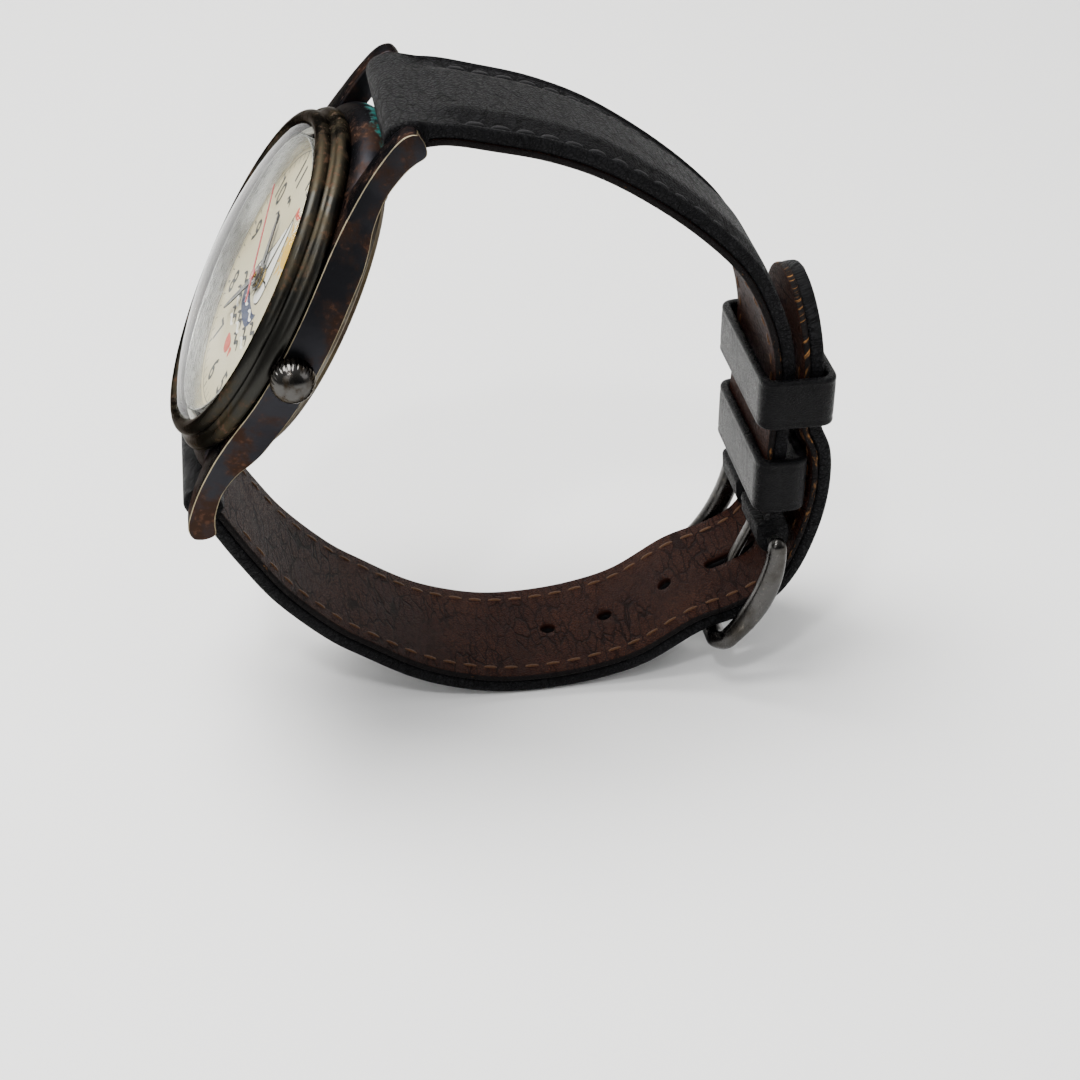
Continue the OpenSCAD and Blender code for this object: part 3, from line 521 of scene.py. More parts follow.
# Thin wall: light goes straight through to the dial, and the eye sees the dial with a
# reflection over it that grows towards the grazing rim
straight = node(tree, "BsdfTransparent", {"Color": (0.95, 0.955, 0.945, 1)})
hairlines = node(tree, "Bump", {"Height": rubs, "Distance": 0.0000005}).outputs["Normal"]
mirror = node(tree, "BsdfGlossy", {"Color": (1, 1, 1, 1), "Roughness": 0.03, "Normal": hairlines})
facing = node(tree, "LayerWeight", {"Blend": 0.5}).outputs["Facing"]
veil = sums(tree, "ADD", sums(tree, "MULTIPLY", sums(tree, "POWER", facing, 9.0), 0.85), 0.01)
seen = node(tree, "MixShader", {0: veil})
tree.links.new(straight.outputs[0], seen.inputs[1])
tree.links.new(mirror.outputs[0], seen.inputs[2])
path = node(tree, "LightPath")
both = node(tree, "MixShader", {0: path.outputs["Is Glossy Ray"]})
tree.links.new(seen.outputs[0], both.inputs[1])
tree.links.new(bsdf.outputs[0], both.inputs[2])
tree.links.new(both.outputs[0], tree.nodes["Material Output"].inputs["Surface"])

glass_r, dome = 15.18, 2.4
cap = (glass_r ** 2 + dome ** 2) / (2 * dome)
inner_r, inner_dome = 14.2, dome - 0.9
hollow = (inner_r ** 2 + inner_dome ** 2) / (2 * inner_dome)
lay = np.degrees(np.arcsin(glass_r / cap))
lay_in = np.degrees(np.arcsin(inner_r / hollow))
crystal_line = np.concatenate([
    arc_line((0, inner_dome - hollow), hollow, 90, 90 - lay_in, 30),
    [[14.2, -1.1], [14.3, -1.2], [15.1, -1.2], [15.18, -1.1], [15.18, -0.15]],
    arc_line((0, dome - cap), cap, 90 - lay, 90, 34)])
crystal_line[0, 0] = crystal_line[-1, 0] = 0.0
crystal = turned("crystal_dome", crystal_line, glass, 192, closed=False)
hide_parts("crystal")
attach(crystal, "watch")

# ---------------------------------------------------------------- reflector ring
# A thin bright ring that closes the gap between the dial's edge and the crystal. Silvered
# plastic, dropped in on the dial.

silvering, tree, bsdf = new_finish("reflector_silvering", (0.60, 0.60, 0.585), 1.0, 0.22)
where = node(tree, "TexCoord").outputs["UV"]
drawn = node(tree, "TexNoise", {"Vector": node(tree, "Mapping", {"Vector": where,
                                                               "Scale": (2, 60, 1)}).outputs[0],
                                "Scale": 3.0, "Detail": 5.0}).outputs["Fac"]
tree.links.new(ramp(tree, drawn, 0.3, 0.7, 0.18, 0.34), bsdf.inputs["Roughness"])
tree.links.new(blend_colours(tree, drawn, (0.50, 0.50, 0.49), (0.66, 0.66, 0.64)),
               bsdf.inputs["Base Color"])
rehaut_line, _ = eased_corners([[13.55, -2.04], [14.08, -2.04], [14.08, -0.4], [13.93, -0.4]],
                               [0.03, 0.03, 0.05, 0.05], 4)
rehaut = turned("reflector", rehaut_line, silvering, 192)
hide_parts("reflector_ring")
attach(rehaut, "watch")

# ---------------------------------------------------------------- dial
# A brass disc lacquered cream, aged in patches and spots, darker and yellower towards the rim,
# and printed with a minute track, hour numerals and a small picture of a boat on the sea under the sun.

dial_lacquer, tree, bsdf = new_finish("dial_lacquer", (0.74, 0.68, 0.52), 0.0, 0.42)
where = node(tree, "TexCoord").outputs["Object"]
tilt = node(tree, "Mapping", {"Vector": where, "Location": tuple(on_case(0, 0, -2.05)),
                              "Rotation": (0, lean - math.pi / 2, 0), "Scale": (mm, mm, mm)},
            vector_type="TEXTURE").outputs[0]
part = node(tree, "SeparateXYZ", {0: tilt}).outputs
# On the dial the turned frame's X runs to 6 o'clock and its Y away from the crown
down, left = part["X"], part["Y"]
radius = sums(tree, "SQRT", sums(tree, "ADD", sums(tree, "MULTIPLY", down, down),
                                 sums(tree, "MULTIPLY", left, left)))
angle = sums(tree, "DIVIDE", sums(tree, "ARCTAN2", left, down), 2 * math.pi / 60)
step = sums(tree, "ABSOLUTE", sums(tree, "SUBTRACT", sums(tree, "FRACT", sums(tree, "ADD", angle, 60.5)),
                                   0.5))
wide = sums(tree, "MULTIPLY", step, sums(tree, "MULTIPLY", radius, 2 * math.pi / 60))
tick = ramp(tree, wide, 0.05, 0.085, 1.0, 0.0)
fifth = sums(tree, "ABSOLUTE", sums(tree, "SUBTRACT", sums(tree, "FRACT",
             sums(tree, "ADD", sums(tree, "DIVIDE", angle, 5.0), 60.5)), 0.5))
bold = sums(tree, "MULTIPLY", ramp(tree, fifth, 0.02, 0.03, 1.0, 0.0), ramp(tree, wide, 0.13, 0.16, 1.0, 0.0))
band = sums(tree, "MULTIPLY", ramp(tree, radius, 12.28, 12.33), ramp(tree, radius, 13.02, 13.07, 1.0, 0.0))
ring = sums(tree, "MULTIPLY", ramp(tree, radius, 13.04, 13.08), ramp(tree, radius, 13.16, 13.20, 1.0, 0.0))
track = sums(tree, "MAXIMUM", sums(tree, "MULTIPLY", sums(tree, "MAXIMUM", tick, bold), band), ring)
age = noise(tree, where, 130.0, 6.0)
grain = noise(tree, where, 2600.0, 3.0)
cream = blend_colours(tree, ramp(tree, age, 0.35, 0.7), (0.60, 0.54, 0.37), (0.52, 0.45, 0.28))
# Darker and yellower towards the rim
cream = blend_colours(tree, sums(tree, "MULTIPLY", ramp(tree, radius, 9.0, 14.4), 0.5), cream,
                      (0.48, 0.39, 0.21))
foxing = ramp(tree, sums(tree, "ADD", age, sums(tree, "MULTIPLY", grain, 0.3)), 0.84, 0.92)
cream = blend_colours(tree, sums(tree, "MULTIPLY", foxing, 0.5), cream, (0.30, 0.20, 0.09))
tree.links.new(blend_colours(tree, track, cream, (0.03, 0.03, 0.03)), bsdf.inputs["Base Color"])
bump(tree, bsdf, grain, 0.000004)
dial_line, _ = eased_corners([[1.15, -2.4], [1.15, -2.05], [14.5, -2.05], [14.5, -2.4]],
                             [0.04] * 4, 4)
dial_disc = turned("dial_disc", dial_line, dial_lacquer, 192)
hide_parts("dial")
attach(dial_disc, "watch")


def ink(name, colour, roughness=0.45):
    """Printing ink: one colour, thinner and paler in spots."""
    material, tree, bsdf = new_finish(name, colour, 0.0, roughness)
    where = node(tree, "TexCoord").outputs["Object"]
    thin = noise(tree, where, 1800.0, 4.0)
    pale = tuple(0.9 * c + 0.03 for c in colour)
    tree.links.new(blend_colours(tree, ramp(tree, thin, 0.45, 0.8), colour, pale),
                   bsdf.inputs["Base Color"])
    bump(tree, bsdf, thin, 0.000003)
    return material


inks = {"black": ink("ink_black", (0.006, 0.006, 0.008)), "white": ink("ink_white", (0.80, 0.79, 0.75)),
        "yellow": ink("ink_yellow", (0.62, 0.36, 0.008)), "red": ink("ink_red", (0.52, 0.045, 0.015)),
        "blue": ink("ink_blue", (0.010, 0.020, 0.070))}


def printed(name, shapes, height, finish):
    """Flat printed shapes on the dial: each outline, in dial mm, is one face."""
    points, faces = [], []
    for shape in shapes:
        shape = np.asarray(shape, float)
        area = (shape[:, 0] * np.roll(shape[:, 1], -1) - shape[:, 1] * np.roll(shape[:, 0], -1)).sum()
        shape = shape if area > 0 else shape[::-1]
        faces.append(list(range(len(points), len(points) + len(shape))))
        points += on_case(shape[:, 0], shape[:, 1], np.full(len(shape), height)).tolist()
    mesh = bpy.data.meshes.new(name)
    mesh.from_pydata(points, [], faces)
    work = bmesh.new()
    work.from_mesh(mesh)
    bmesh.ops.triangulate(work, faces=work.faces)
    work.to_mesh(mesh)
    work.free()
    mesh.materials.append(finish)
    piece = bpy.data.objects.new(name, mesh)
    scene.collection.objects.link(piece)
    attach(piece, "watch")


def loop(points, steps=8):
    """Closed smooth outline through a few points: each span is a cubic, as in evenly."""
    p = np.asarray(points, float)
    t = np.arange(steps)[:, None] / steps
    out = []
    for k in range(len(p)):
        a, b, c, d = p[k - 1], p[k], p[(k + 1) % len(p)], p[(k + 2) % len(p)]
        out.append(0.5 * (2 * b + (c - a) * t + (2 * a - 5 * b + 4 * c - d) * t ** 2
                          + (3 * b - a - 3 * c + d) * t ** 3))
    return np.concatenate(out)


def band_line(points, width, steps=8):
    """A brush stroke: an open line through the points, as wide as given, pointed at its ends."""
    p = np.asarray(points, float)
    t = np.linspace(0, len(p) - 1, (len(p) - 1) * steps + 1)
    line = np.stack([evenly(p[:, 0], len(t)), evenly(p[:, 1], len(t))], -1)
    way = np.gradient(line, axis=0)
    side = np.stack([-way[:, 1], way[:, 0]], -1) / np.linalg.norm(way, axis=1)[:, None]
    w = (width / 2 * np.sin(np.linspace(0.12, np.pi - 0.12, len(t))) ** 0.5)[:, None]
    return np.concatenate([line + side * w, (line - side * w)[::-1]])


paper = -2.05
round_sun = arc_line((4.1, 5.4), 1.9, 0, 350, 36)
rays = [np.array([[4.1 + 2.2 * math.cos(a - 0.15), 5.4 + 2.2 * math.sin(a - 0.15)],
                  [4.1 + r * math.cos(a), 5.4 + r * math.sin(a)],
                  [4.1 + 2.2 * math.cos(a + 0.15), 5.4 + 2.2 * math.sin(a + 0.15)]])
        for a, r in zip(np.linspace(0, 2 * math.pi, 14, endpoint=False), [3.5, 2.9] * 7)]
printed("print_sun", [round_sun] + rays, paper + 0.010, inks["yellow"])
main_sail = loop([[0.3, 6.8], [1.7, 4.2], [2.9, 0.6], [2.7, -1.5], [0.5, -1.6], [0.4, 2.6]])
fore_sail = loop([[-0.3, 5.6], [-0.2, 2.0], [-0.3, -1.5], [-2.6, -1.3], [-3.6, -0.6], [-1.6, 2.8]])
printed("print_sails", [main_sail, fore_sail], paper + 0.014, inks["white"])
printed("print_rigging", [
    band_line([[0.05, 7.4], [0.05, 3.0], [0.1, -2.0]], 0.40), band_line(main_sail[:28], 0.32),
    band_line(fore_sail[16:44], 0.32), band_line([[1.0, 0.2], [2.0, 0.5], [2.8, 0.4]], 0.26),
    band_line([[-0.6, 1.0], [-1.4, 0.7], [-2.4, 0.6]], 0.26),
    band_line([[-6.8, 3.9], [-6.2, 4.5], [-5.7, 4.0], [-5.2, 4.5], [-4.5, 3.9]], 0.40),
    band_line([[-5.6, 6.3], [-5.1, 6.8], [-4.7, 6.35], [-4.3, 6.8], [-3.7, 6.3]], 0.36)],
    paper + 0.020, inks["black"])
printed("print_hull", [loop([[-4.4, -2.1], [-3.2, -2.3], [0, -2.5], [3.0, -2.4], [4.4, -1.9],
                             [3.4, -3.8], [1.0, -4.4], [-2.2, -4.3], [-3.7, -3.5]])],
        paper + 0.016, inks["blue"])
printed("print_pennant", [loop([[0.1, 8.2], [1.3, 7.9], [2.4, 8.2], [1.5, 7.4], [0.1, 7.3]], 5),
                          loop([[-1.2, -7.1], [0.2, -6.9], [1.4, -7.2], [1.1, -8.2], [0.0, -8.5],
                                [-1.0, -8.0]], 5),
                          loop([[1.6, -7.3], [2.5, -7.0], [2.4, -8.0]], 4)],
        paper + 0.018, inks["red"])
waves = [band_line([[x, y], [x + 0.9, y + 0.5], [x + 1.8, y], [x + 2.7, y + 0.5], [x + 3.6, y]], 0.46)
         for x, y in ((-6.6, -4.6), (-2.0, -5.1), (2.6, -4.5), (-4.6, -6.0), (0.6, -6.2), (-6.9, -3.1),
                      (4.2, -3.0))]
printed("print_waves", waves, paper + 0.022, inks["black"])
foam = [band_line([[x, y], [x + 0.8, y + 0.35], [x + 1.7, y], [x + 2.5, y + 0.3]], 0.42)
        for x, y in ((-5.4, -5.1), (-0.6, -5.6), (3.4, -5.1), (-2.4, -3.3), (1.3, -3.1), (-4.1, -6.6))]
printed("print_foam", foam, paper + 0.024, inks["white"])

# Numerals: plain figures made flat meshes and laid upright round the dial
for hour in range(1, 13):
    text = bpy.data.curves.new("figure", "FONT")
    text.body = str(hour)
    text.size = 3.5
    text.align_x, text.align_y = "CENTER", "CENTER"
    text.offset = 0.05
    text.space_character = 0.92
    holder = bpy.data.objects.new("figure", text)
    scene.collection.objects.link(holder)
    bpy.context.view_layer.update()
    mesh = bpy.data.meshes.new_from_object(holder)
    bpy.data.objects.remove(holder)
    flat = np.empty(len(mesh.vertices) * 3)
    mesh.vertices.foreach_get("co", flat)
    flat = flat.reshape(-1, 3)
    flat[:, :2] -= (flat[:, :2].max(0) + flat[:, :2].min(0)) / 2
    a = math.radians(90 - 30 * hour)
    spot = on_case(flat[:, 0] + 10.75 * math.cos(a), flat[:, 1] + 10.75 * math.sin(a),
                   np.full(len(flat), paper + 0.012))
    mesh.vertices.foreach_set("co", spot.reshape(-1))
    mesh.materials.clear()
    mesh.materials.append(inks["black"])
    mesh.name = f"numeral_{hour}"
    piece = bpy.data.objects.new(mesh.name, mesh)
    scene.collection.objects.link(piece)
    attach(piece, "watch")

# ---------------------------------------------------------------- hands
# Stamped hands pressed on their arbors: hour and minute painted black, a slim red second
# hand on top. The lacquer is satin and shows the stamping's grain.


def dress(names, finish):
    """Gives CAD nodes their finish in place of the plain one."""
    for name in names:
        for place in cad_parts[name].material_slots:
            place.material = finish


def enamel(name, colour, roughness):
    """Thin enamel on metal, slightly uneven, thinner in spots."""
    material, tree, bsdf = new_finish(name, colour, 0.1, roughness, Coat_Weight=0.4)
    where = node(tree, "TexCoord").outputs["Object"]
    uneven = noise(tree, where, 1400.0, 4.0)
    tree.links.new(blend_colours(tree, uneven, colour, tuple(0.75 * c + 0.03 for c in colour)),
                   bsdf.inputs["Base Color"])
    tree.links.new(ramp(tree, uneven, 0.3, 0.7, roughness - 0.06, roughness + 0.1),
                   bsdf.inputs["Roughness"])
    bump(tree, bsdf, uneven, 0.000004)
    return material


dress(["hour_hand", "minute_hand"], enamel("enamel_black", (0.006, 0.007, 0.010), 0.32))
dress(["second_hand"], enamel("enamel_red", (0.50, 0.02, 0.035), 0.28))

# ---------------------------------------------------------------- crown
# A small winding knob of turned brass, plated dark and polished, with a fluted side and a
# rounded end. It screws onto the winding stem, which turns in a tube in the case.

knob, tree, bsdf = new_finish("crown_plating", (0.08, 0.077, 0.073), 1.0, 0.16,
                             Specular_Tint=(0.5, 0.48, 0.45, 1))
where = node(tree, "TexCoord").outputs["Object"]
tarnish = noise(tree, where, 900.0, 6.0)
tree.links.new(blend_colours(tree, ramp(tree, tarnish, 0.45, 0.7), (0.060, 0.058, 0.055),
                             (0.022, 0.016, 0.010)), bsdf.inputs["Base Color"])
tree.links.new(ramp(tree, tarnish, 0.4, 0.75, 0.12, 0.42), bsdf.inputs["Roughness"])
bump(tree, bsdf, tarnish, 0.000006)
# Half outline from the hollow, round the outside to the middle of the rounded end
half_line = np.array([[1.32, 1.0], [1.34, 0.02], [1.75, 0.0], [1.95, 0.12], [2.03, 0.35],
                      [2.05, 0.75], [2.03, 1.2], [1.93, 1.6], [1.72, 2.0], [1.4, 2.35], [1.0, 2.6],
                      [0.5, 2.76], [0.0, 2.81]])
out_r = evenly(half_line[2:, 0], 60)
out_h = evenly(half_line[2:, 1], 60)
out_r[-1] = 0.0
fluted = np.exp(-((out_h - 0.9) / 1.0) ** 4)
a = np.linspace(0, 2 * np.pi, 24 * 12, endpoint=False)[:, None]
cut = 0.10 * np.clip(np.cos(24 * a), 0, None) ** 2
r = np.concatenate([np.array([[0.0, 1.32, 1.32]]) + 0 * a, out_r[None] - cut * fluted[None]], 1)
h = np.concatenate([np.array([[1.0, 1.0, 0.02]]) + 0 * a, out_h[None] + 0 * a], 1)
P = on_case(17.7 + h, r * np.sin(a), -4.1 + r * np.cos(a))
knob_piece = grid_piece("crown_knob", P, knob, along=True)
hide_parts("crown")
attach(knob_piece, "crown")

# ---------------------------------------------------------------- movement and case back
# The hand-wound movement in its ring, closed by a dull steel back. Plates gilt, bridges
# nickel-plated with fine stripes, wheels brass, arbors steel, screws blued, jewels ruby.


def machined(name, colour, metallic, roughness, scale, stretch, relief, tint=0.75):
    """Cut or brushed metal: a stretched grain that shades the colour and the gloss."""
    material, tree, bsdf = new_finish(name, colour, metallic, roughness)
    where = node(tree, "TexCoord").outputs["Object"]
    lines = node(tree, "Mapping", {"Vector": where, "Scale": stretch}).outputs[0]
    grain = noise(tree, lines, scale, 6.0, 0.65)
    stain = noise(tree, where, 240.0, 4.0)
    dark = tuple(tint * c for c in colour)
    tone = blend_colours(tree, ramp(tree, grain, 0.35, 0.65), dark, colour)
    tree.links.new(blend_colours(tree, sums(tree, "MULTIPLY", ramp(tree, stain, 0.5, 0.75), 0.4),
                                 tone, tuple(0.45 * c for c in colour)), bsdf.inputs["Base Color"])
    tree.links.new(ramp(tree, grain, 0.3, 0.7, roughness - 0.07, roughness + 0.1),
                   bsdf.inputs["Roughness"])
    bump(tree, bsdf, grain, relief)
    return material


dress(["main_plate"], machined("plate_gilt", (0.72, 0.55, 0.26), 1.0, 0.30, 1600, (1, 1, 1), 0.000004))
dress(["barrel_bridge", "train_bridge", "balance_cock", "pallet_bridge"],
      machined("bridge_stripes", (0.66, 0.64, 0.58), 1.0, 0.26, 900, (1, 0.08, 1), 0.000005))
dress(["barrel_drum", "barrel_cover", "center_wheel", "third_wheel", "fourth_wheel",
       "balance_wheel", "minute_wheel", "hour_wheel"],
      machined("wheel_brass", (0.78, 0.58, 0.25), 1.0, 0.24, 2200, (1, 1, 1), 0.000003))
dress(["barrel_arbor", "ratchet_wheel", "crown_wheel", "click", "escape_wheel", "pallet_fork",
       "balance_staff", "regulator", "cannon_pinion", "winding_pinion", "sliding_pinion",
       "setting_lever", "yoke", "winding_stem", "crown_tube"],
      machined("arbor_steel", (0.58, 0.59, 0.60), 1.0, 0.25, 2600, (1, 0.3, 1), 0.000003))
dress(["spring_bar_12", "spring_bar_6", "buckle_bar"],
      machined("bar_steel", (0.34, 0.34, 0.33), 1.0, 0.30, 2400, (1, 0.05, 1), 0.000004))
dress(["movement_screws", "hairspring", "mainspring", "click_spring"],
      machined("blued_steel", (0.07, 0.12, 0.32), 1.0, 0.22, 2600, (1, 1, 1), 0.000003))
dress(["movement_ring"], machined("ring_plastic", (0.58, 0.56, 0.50), 0.0, 0.55, 1500, (1, 1, 1),
                                  0.000008, 0.9))
dress(["crystal_gasket"], machined("gasket_nylon", (0.78, 0.76, 0.68), 0.0, 0.40, 1500, (1, 1, 1),
                                   0.000004, 0.9))
dress(["back_gasket", "crown_gasket"], machined("gasket_rubber", (0.02, 0.02, 0.02), 0.0, 0.62,
                                                1800, (1, 1, 1), 0.000006, 0.8))
ruby, tree, bsdf = new_finish("ruby", (0.55, 0.02, 0.10), 0.0, 0.08, Transmission_Weight=0.6, IOR=1.76)
where = node(tree, "TexCoord").outputs["Object"]
cloudy = noise(tree, where, 3000.0, 3.0)
tree.links.new(blend_colours(tree, cloudy, (0.45, 0.01, 0.07), (0.68, 0.06, 0.18)),
               bsdf.inputs["Base Color"])
dress(["train_jewels", "pallet_stones"], ruby)

back_steel = plated("back_plating", (0.10, 0.094, 0.08), (0.05, 0.036, 0.024), (0.24, 0.21, 0.165),
                    0.35, 0.34, 0.00001)
back_line, back_edge = eased_corners(
    [[0.0, -7.5], [12.9, -7.5], [13.6, -7.0], [13.9, -6.32], [16.15, -6.32], [15.95, -6.9],
     [14.8, -7.6], [11.5, -8.25], [0.0, -8.25]],
    [0, 0.1, 0.1, 0.1, 0.12, 0.15, 0.25, 0.3, 0], 6, closed=False)
back_plate = turned("back_plate", back_line, back_steel, 192, back_edge, closed=False)
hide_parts("case_back")
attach(back_plate, "watch")

# ---------------------------------------------------------------- strap
# Two halves of black leather over a thin filler, edges turned and painted, lined in brown
# leather and sewn near both edges. Each half is looped and glued round its spring bar.


def smooth_line(points, steps):
    """Smooth open curve through the points, with even steps between each pair."""
    p = np.asarray(points, float)
    n = (len(p) - 1) * steps + 1
    return np.stack([evenly(p[:, 0], n), evenly(p[:, 1], n)], -1)


bar_12 = np.array([-28 + 21 * math.sin(lean) + 5.2 * math.cos(lean),
                   16 + 21 * math.cos(lean) - 5.2 * math.sin(lean)])
bar_6 = np.array([-28 - 21 * math.sin(lean) + 5.2 * math.cos(lean),
                  16 - 21 * math.cos(lean) - 5.2 * math.sin(lean)])
hinge_bar = np.array([24.0, -15.2])
upper_line = smooth_line([bar_12, [-9.2, 31.9], [-4.5, 30.9], [0.6, 29.5], [5.7, 27.3], [10.9, 24],
                          [15.8, 20.1], [19.8, 15.9], [22.4, 11], [23.7, 6.6], [24, 2], [23.6, -8],
                          hinge_bar], 24)
lower_knots = [bar_6, [-32.3, -7.9], [-30, -12], [-26.8, -16.9], [-22.2, -21.8],
               [-18.5, -24.6], [-14, -27.6], [-10, -29.4], [-5, -30.7], [0.3, -30.9],
               [5.6, -30.3], [10.7, -28.8], [16.3, -25.4], [20.6, -23.9], [23.8, -22.2],
               [25.7, -19.8], [27.1, -16.6], [28.2, -12.5], [28.6, -8.5], [28.3, -5],
               [27.1, -2], [26.9, 1], [26.9, 4.5], [26.7, 8.2], [26.4, 11.9]]
lower_line = smooth_line(lower_knots, 16)


def even_steps(line, step):
    """The same curve with its points a fixed distance apart. Returns points and distances."""
    d = np.concatenate([[0], np.cumsum(np.linalg.norm(np.diff(line, axis=0), axis=1))])
    s = np.linspace(0, d[-1], int(d[-1] / step) + 1)
    return np.stack([np.interp(s, d, line[:, 0]), np.interp(s, d, line[:, 1])], -1), s


def sideways(line, sign):
    """Unit vectors across a curve, to the left of its direction times the sign."""
    way = np.gradient(line, axis=0)
    way = np.stack([np.convolve(np.pad(way[:, k], 3, "edge"), np.ones(7) / 7, "valid")
                    for k in (0, 1)], -1)
    way /= np.linalg.norm(way, axis=1)[:, None]
    return way, np.stack([-way[:, 1], way[:, 0]], -1) * sign


def step_up(x, a, b):
    """0 before a, 1 after b, eased between them."""
    t = np.clip((x - a) / (b - a), 0, 1)
    return t * t * (3 - 2 * t)


def strap_width(x):
    """Half width of the strap at a place x of the wrist: 18 mm at the lugs, 16 at the buckle."""
    return np.interp(x, [-50, -16, 14, 40], [9.0, 9.0, 8.0, 8.0])


# Section of a layer, once round it: share of the width, share of the edge's radius, and top
# or low side. 0..1 across the top, then the far edge, the low side and the near edge.
flat = np.linspace(-1, 1, 61)
edge_turn = np.linspace(0, np.pi, 9)[1:-1]
ring_side = np.concatenate([flat, np.ones(7), np.linspace(1, -1, 21), -np.ones(7)])
ring_out = np.concatenate([np.zeros(61), np.sin(edge_turn), np.zeros(21), -np.sin(edge_turn)])
ring_up = np.concatenate([np.ones(61), np.cos(edge_turn), -np.ones(21), -np.cos(edge_turn)])


def strap_layer(name, line, sign, top_of, low_of, finish, pad=None, tip=0.0, eased=0.45, rolls=()):
    """One layer of leather along a line: a ring of section points carried along it.

    Each section goes from low_of(s) to top_of(s) across the line, as wide as the strap there,
    with round edges. pad(s, t) is added to the top, t being the distance from the middle.
    tip rounds the far end to that radius; rolls lists the ends that close round a bar.
    """
    points, s = even_steps(line, 0.35)
    way, out = sideways(points, sign)
    total = s[-1]
    width = strap_width(points[:, 0])
    high, deep = top_of(s, total), low_of(s, total)
    # Ends: sections added past the bar on a circle, down to a line
    for end in rolls:
        first = end == "first"
        k = 0 if first else -1
        a = np.linspace(0.0, np.pi / 2, 8)[:-1]
        heading = -way[k] if first else way[k]
        mid = (high[k] + deep[k]) / 2
        radius = (high[k] - deep[k]) / 2
        extra = points[k] + out[k] * mid + heading * radius * np.cos(a)[:, None]
        added = [(points, extra), (out, np.repeat(out[k][None], 7, 0)), (width, np.full(7, width[k])),
                 (high, radius * np.sin(a)), (deep, -radius * np.sin(a)),
                 (s, s[k] - first * radius * np.cos(a))]
        points, out, width, high, deep, s = (
            np.concatenate([new, old] if first else [old, new[::-1]]) for old, new in added)
    if tip:
        width = np.minimum(width, np.sqrt(np.clip(tip ** 2 - np.clip(s - (total - tip), 0, tip) ** 2,
                                                  0, None)))
    thick = np.clip((high - deep) / 2, 1e-4, None)
    r_out = np.minimum(eased, width * 0.5)[:, None]
    r_up = np.minimum(eased, thick * 0.96)[:, None]
    t = ring_side[None] * (width[:, None] - r_out) + ring_out[None] * r_out
    h = ((high + deep) / 2)[:, None] + np.sign(ring_up)[None] * (thick[:, None] - r_up) \
        * (np.abs(ring_up)[None] > 0.001) + ring_up[None] * r_up
    if pad is not None:
        h = h + pad(s[:, None], t, width[:, None], total) * (ring_up[None] > 0.99)
    centre = points[:, None, :] + out[:, None, :] * h[..., None]
    P = np.stack([centre[..., 0], t, centre[..., 1]], -1) * mm
    # Distances over the surface in centimetres, along the strap and round its section
    step = np.hypot(np.diff(np.append(t, t[:, :1], 1), axis=1),
                    np.diff(np.append(h, h[:, :1], 1), axis=1))
    across = np.concatenate([0 * t[:, :1], np.cumsum(step, 1)], 1)
    across = across - across[:, 30:31]
    uv = np.stack([np.repeat(s[:, None], across.shape[1], 1), across], -1) * 0.1
    rim = np.clip(1 - (width[:, None] - np.abs(t)) / 1.3, 0, 1)
    piece = grid_piece(name, P, finish, around=True, uv=uv,
                       marks={"rim": rim, "side": np.abs(ring_out)[None] + 0 * t,
                              "handled": step_up(points[:, :1], 20.0, 26.0) + 0 * t})
    close_ends(piece)
    return piece, (points, out, s, width), total


# Leather grain: small pebbles, pores and creases that run across the strap
grain_group, inside, outside = new_group(
    "leather_grain",
    [("Vector", "Vector", None), ("Pebble", "Float", 26.0), ("Crease", "Float", 0.5)],
    [("Relief", "Float"), ("Creases", "Float"), ("Pores", "Float")])
at = inside.outputs["Vector"]
wobble = node(grain_group, "TexNoise", {"Vector": at, "Scale": 9.0, "Detail": 3.0})
bent = node(grain_group, "VectorMath", {0: at, 1: node(grain_group, "VectorMath", {
    0: wobble.outputs["Color"], "Scale": 0.09}, operation="SCALE").outputs[0]}, operation="ADD")
cells = node(grain_group, "TexVoronoi", {"Vector": bent.outputs[0], "Scale": inside.outputs["Pebble"],
                                         "Randomness": 1.0}, feature="DISTANCE_TO_EDGE")
pebble = ramp(grain_group, cells.outputs["Distance"], 0.0, 0.22)
long = node(grain_group, "Mapping", {"Vector": bent.outputs[0], "Scale": (6.5, 1.6, 1.0)})
crack = node(grain_group, "TexVoronoi", {"Vector": long.outputs[0], "Scale": 1.6},
             feature="DISTANCE_TO_EDGE")
faint = noise(grain_group, at, 1.3, 4.0)
creases = sums(grain_group, "MULTIPLY", ramp(grain_group, crack.outputs["Distance"], 0.0, 0.07, 1.0, 0.0),
               sums(grain_group, "MULTIPLY", ramp(grain_group, faint, 0.35, 0.62),
                    inside.outputs["Crease"]))
speck = noise(grain_group, at, 60.0, 4.0)
grain_group.links.new(sums(grain_group, "SUBTRACT", sums(grain_group, "ADD",
                      sums(grain_group, "MULTIPLY", pebble, 0.45),
                      sums(grain_group, "MULTIPLY", speck, 0.4)), creases), outside.inputs["Relief"])
grain_group.links.new(creases, outside.inputs["Creases"])
grain_group.links.new(ramp(grain_group, speck, 0.55, 0.75), outside.inputs["Pores"])


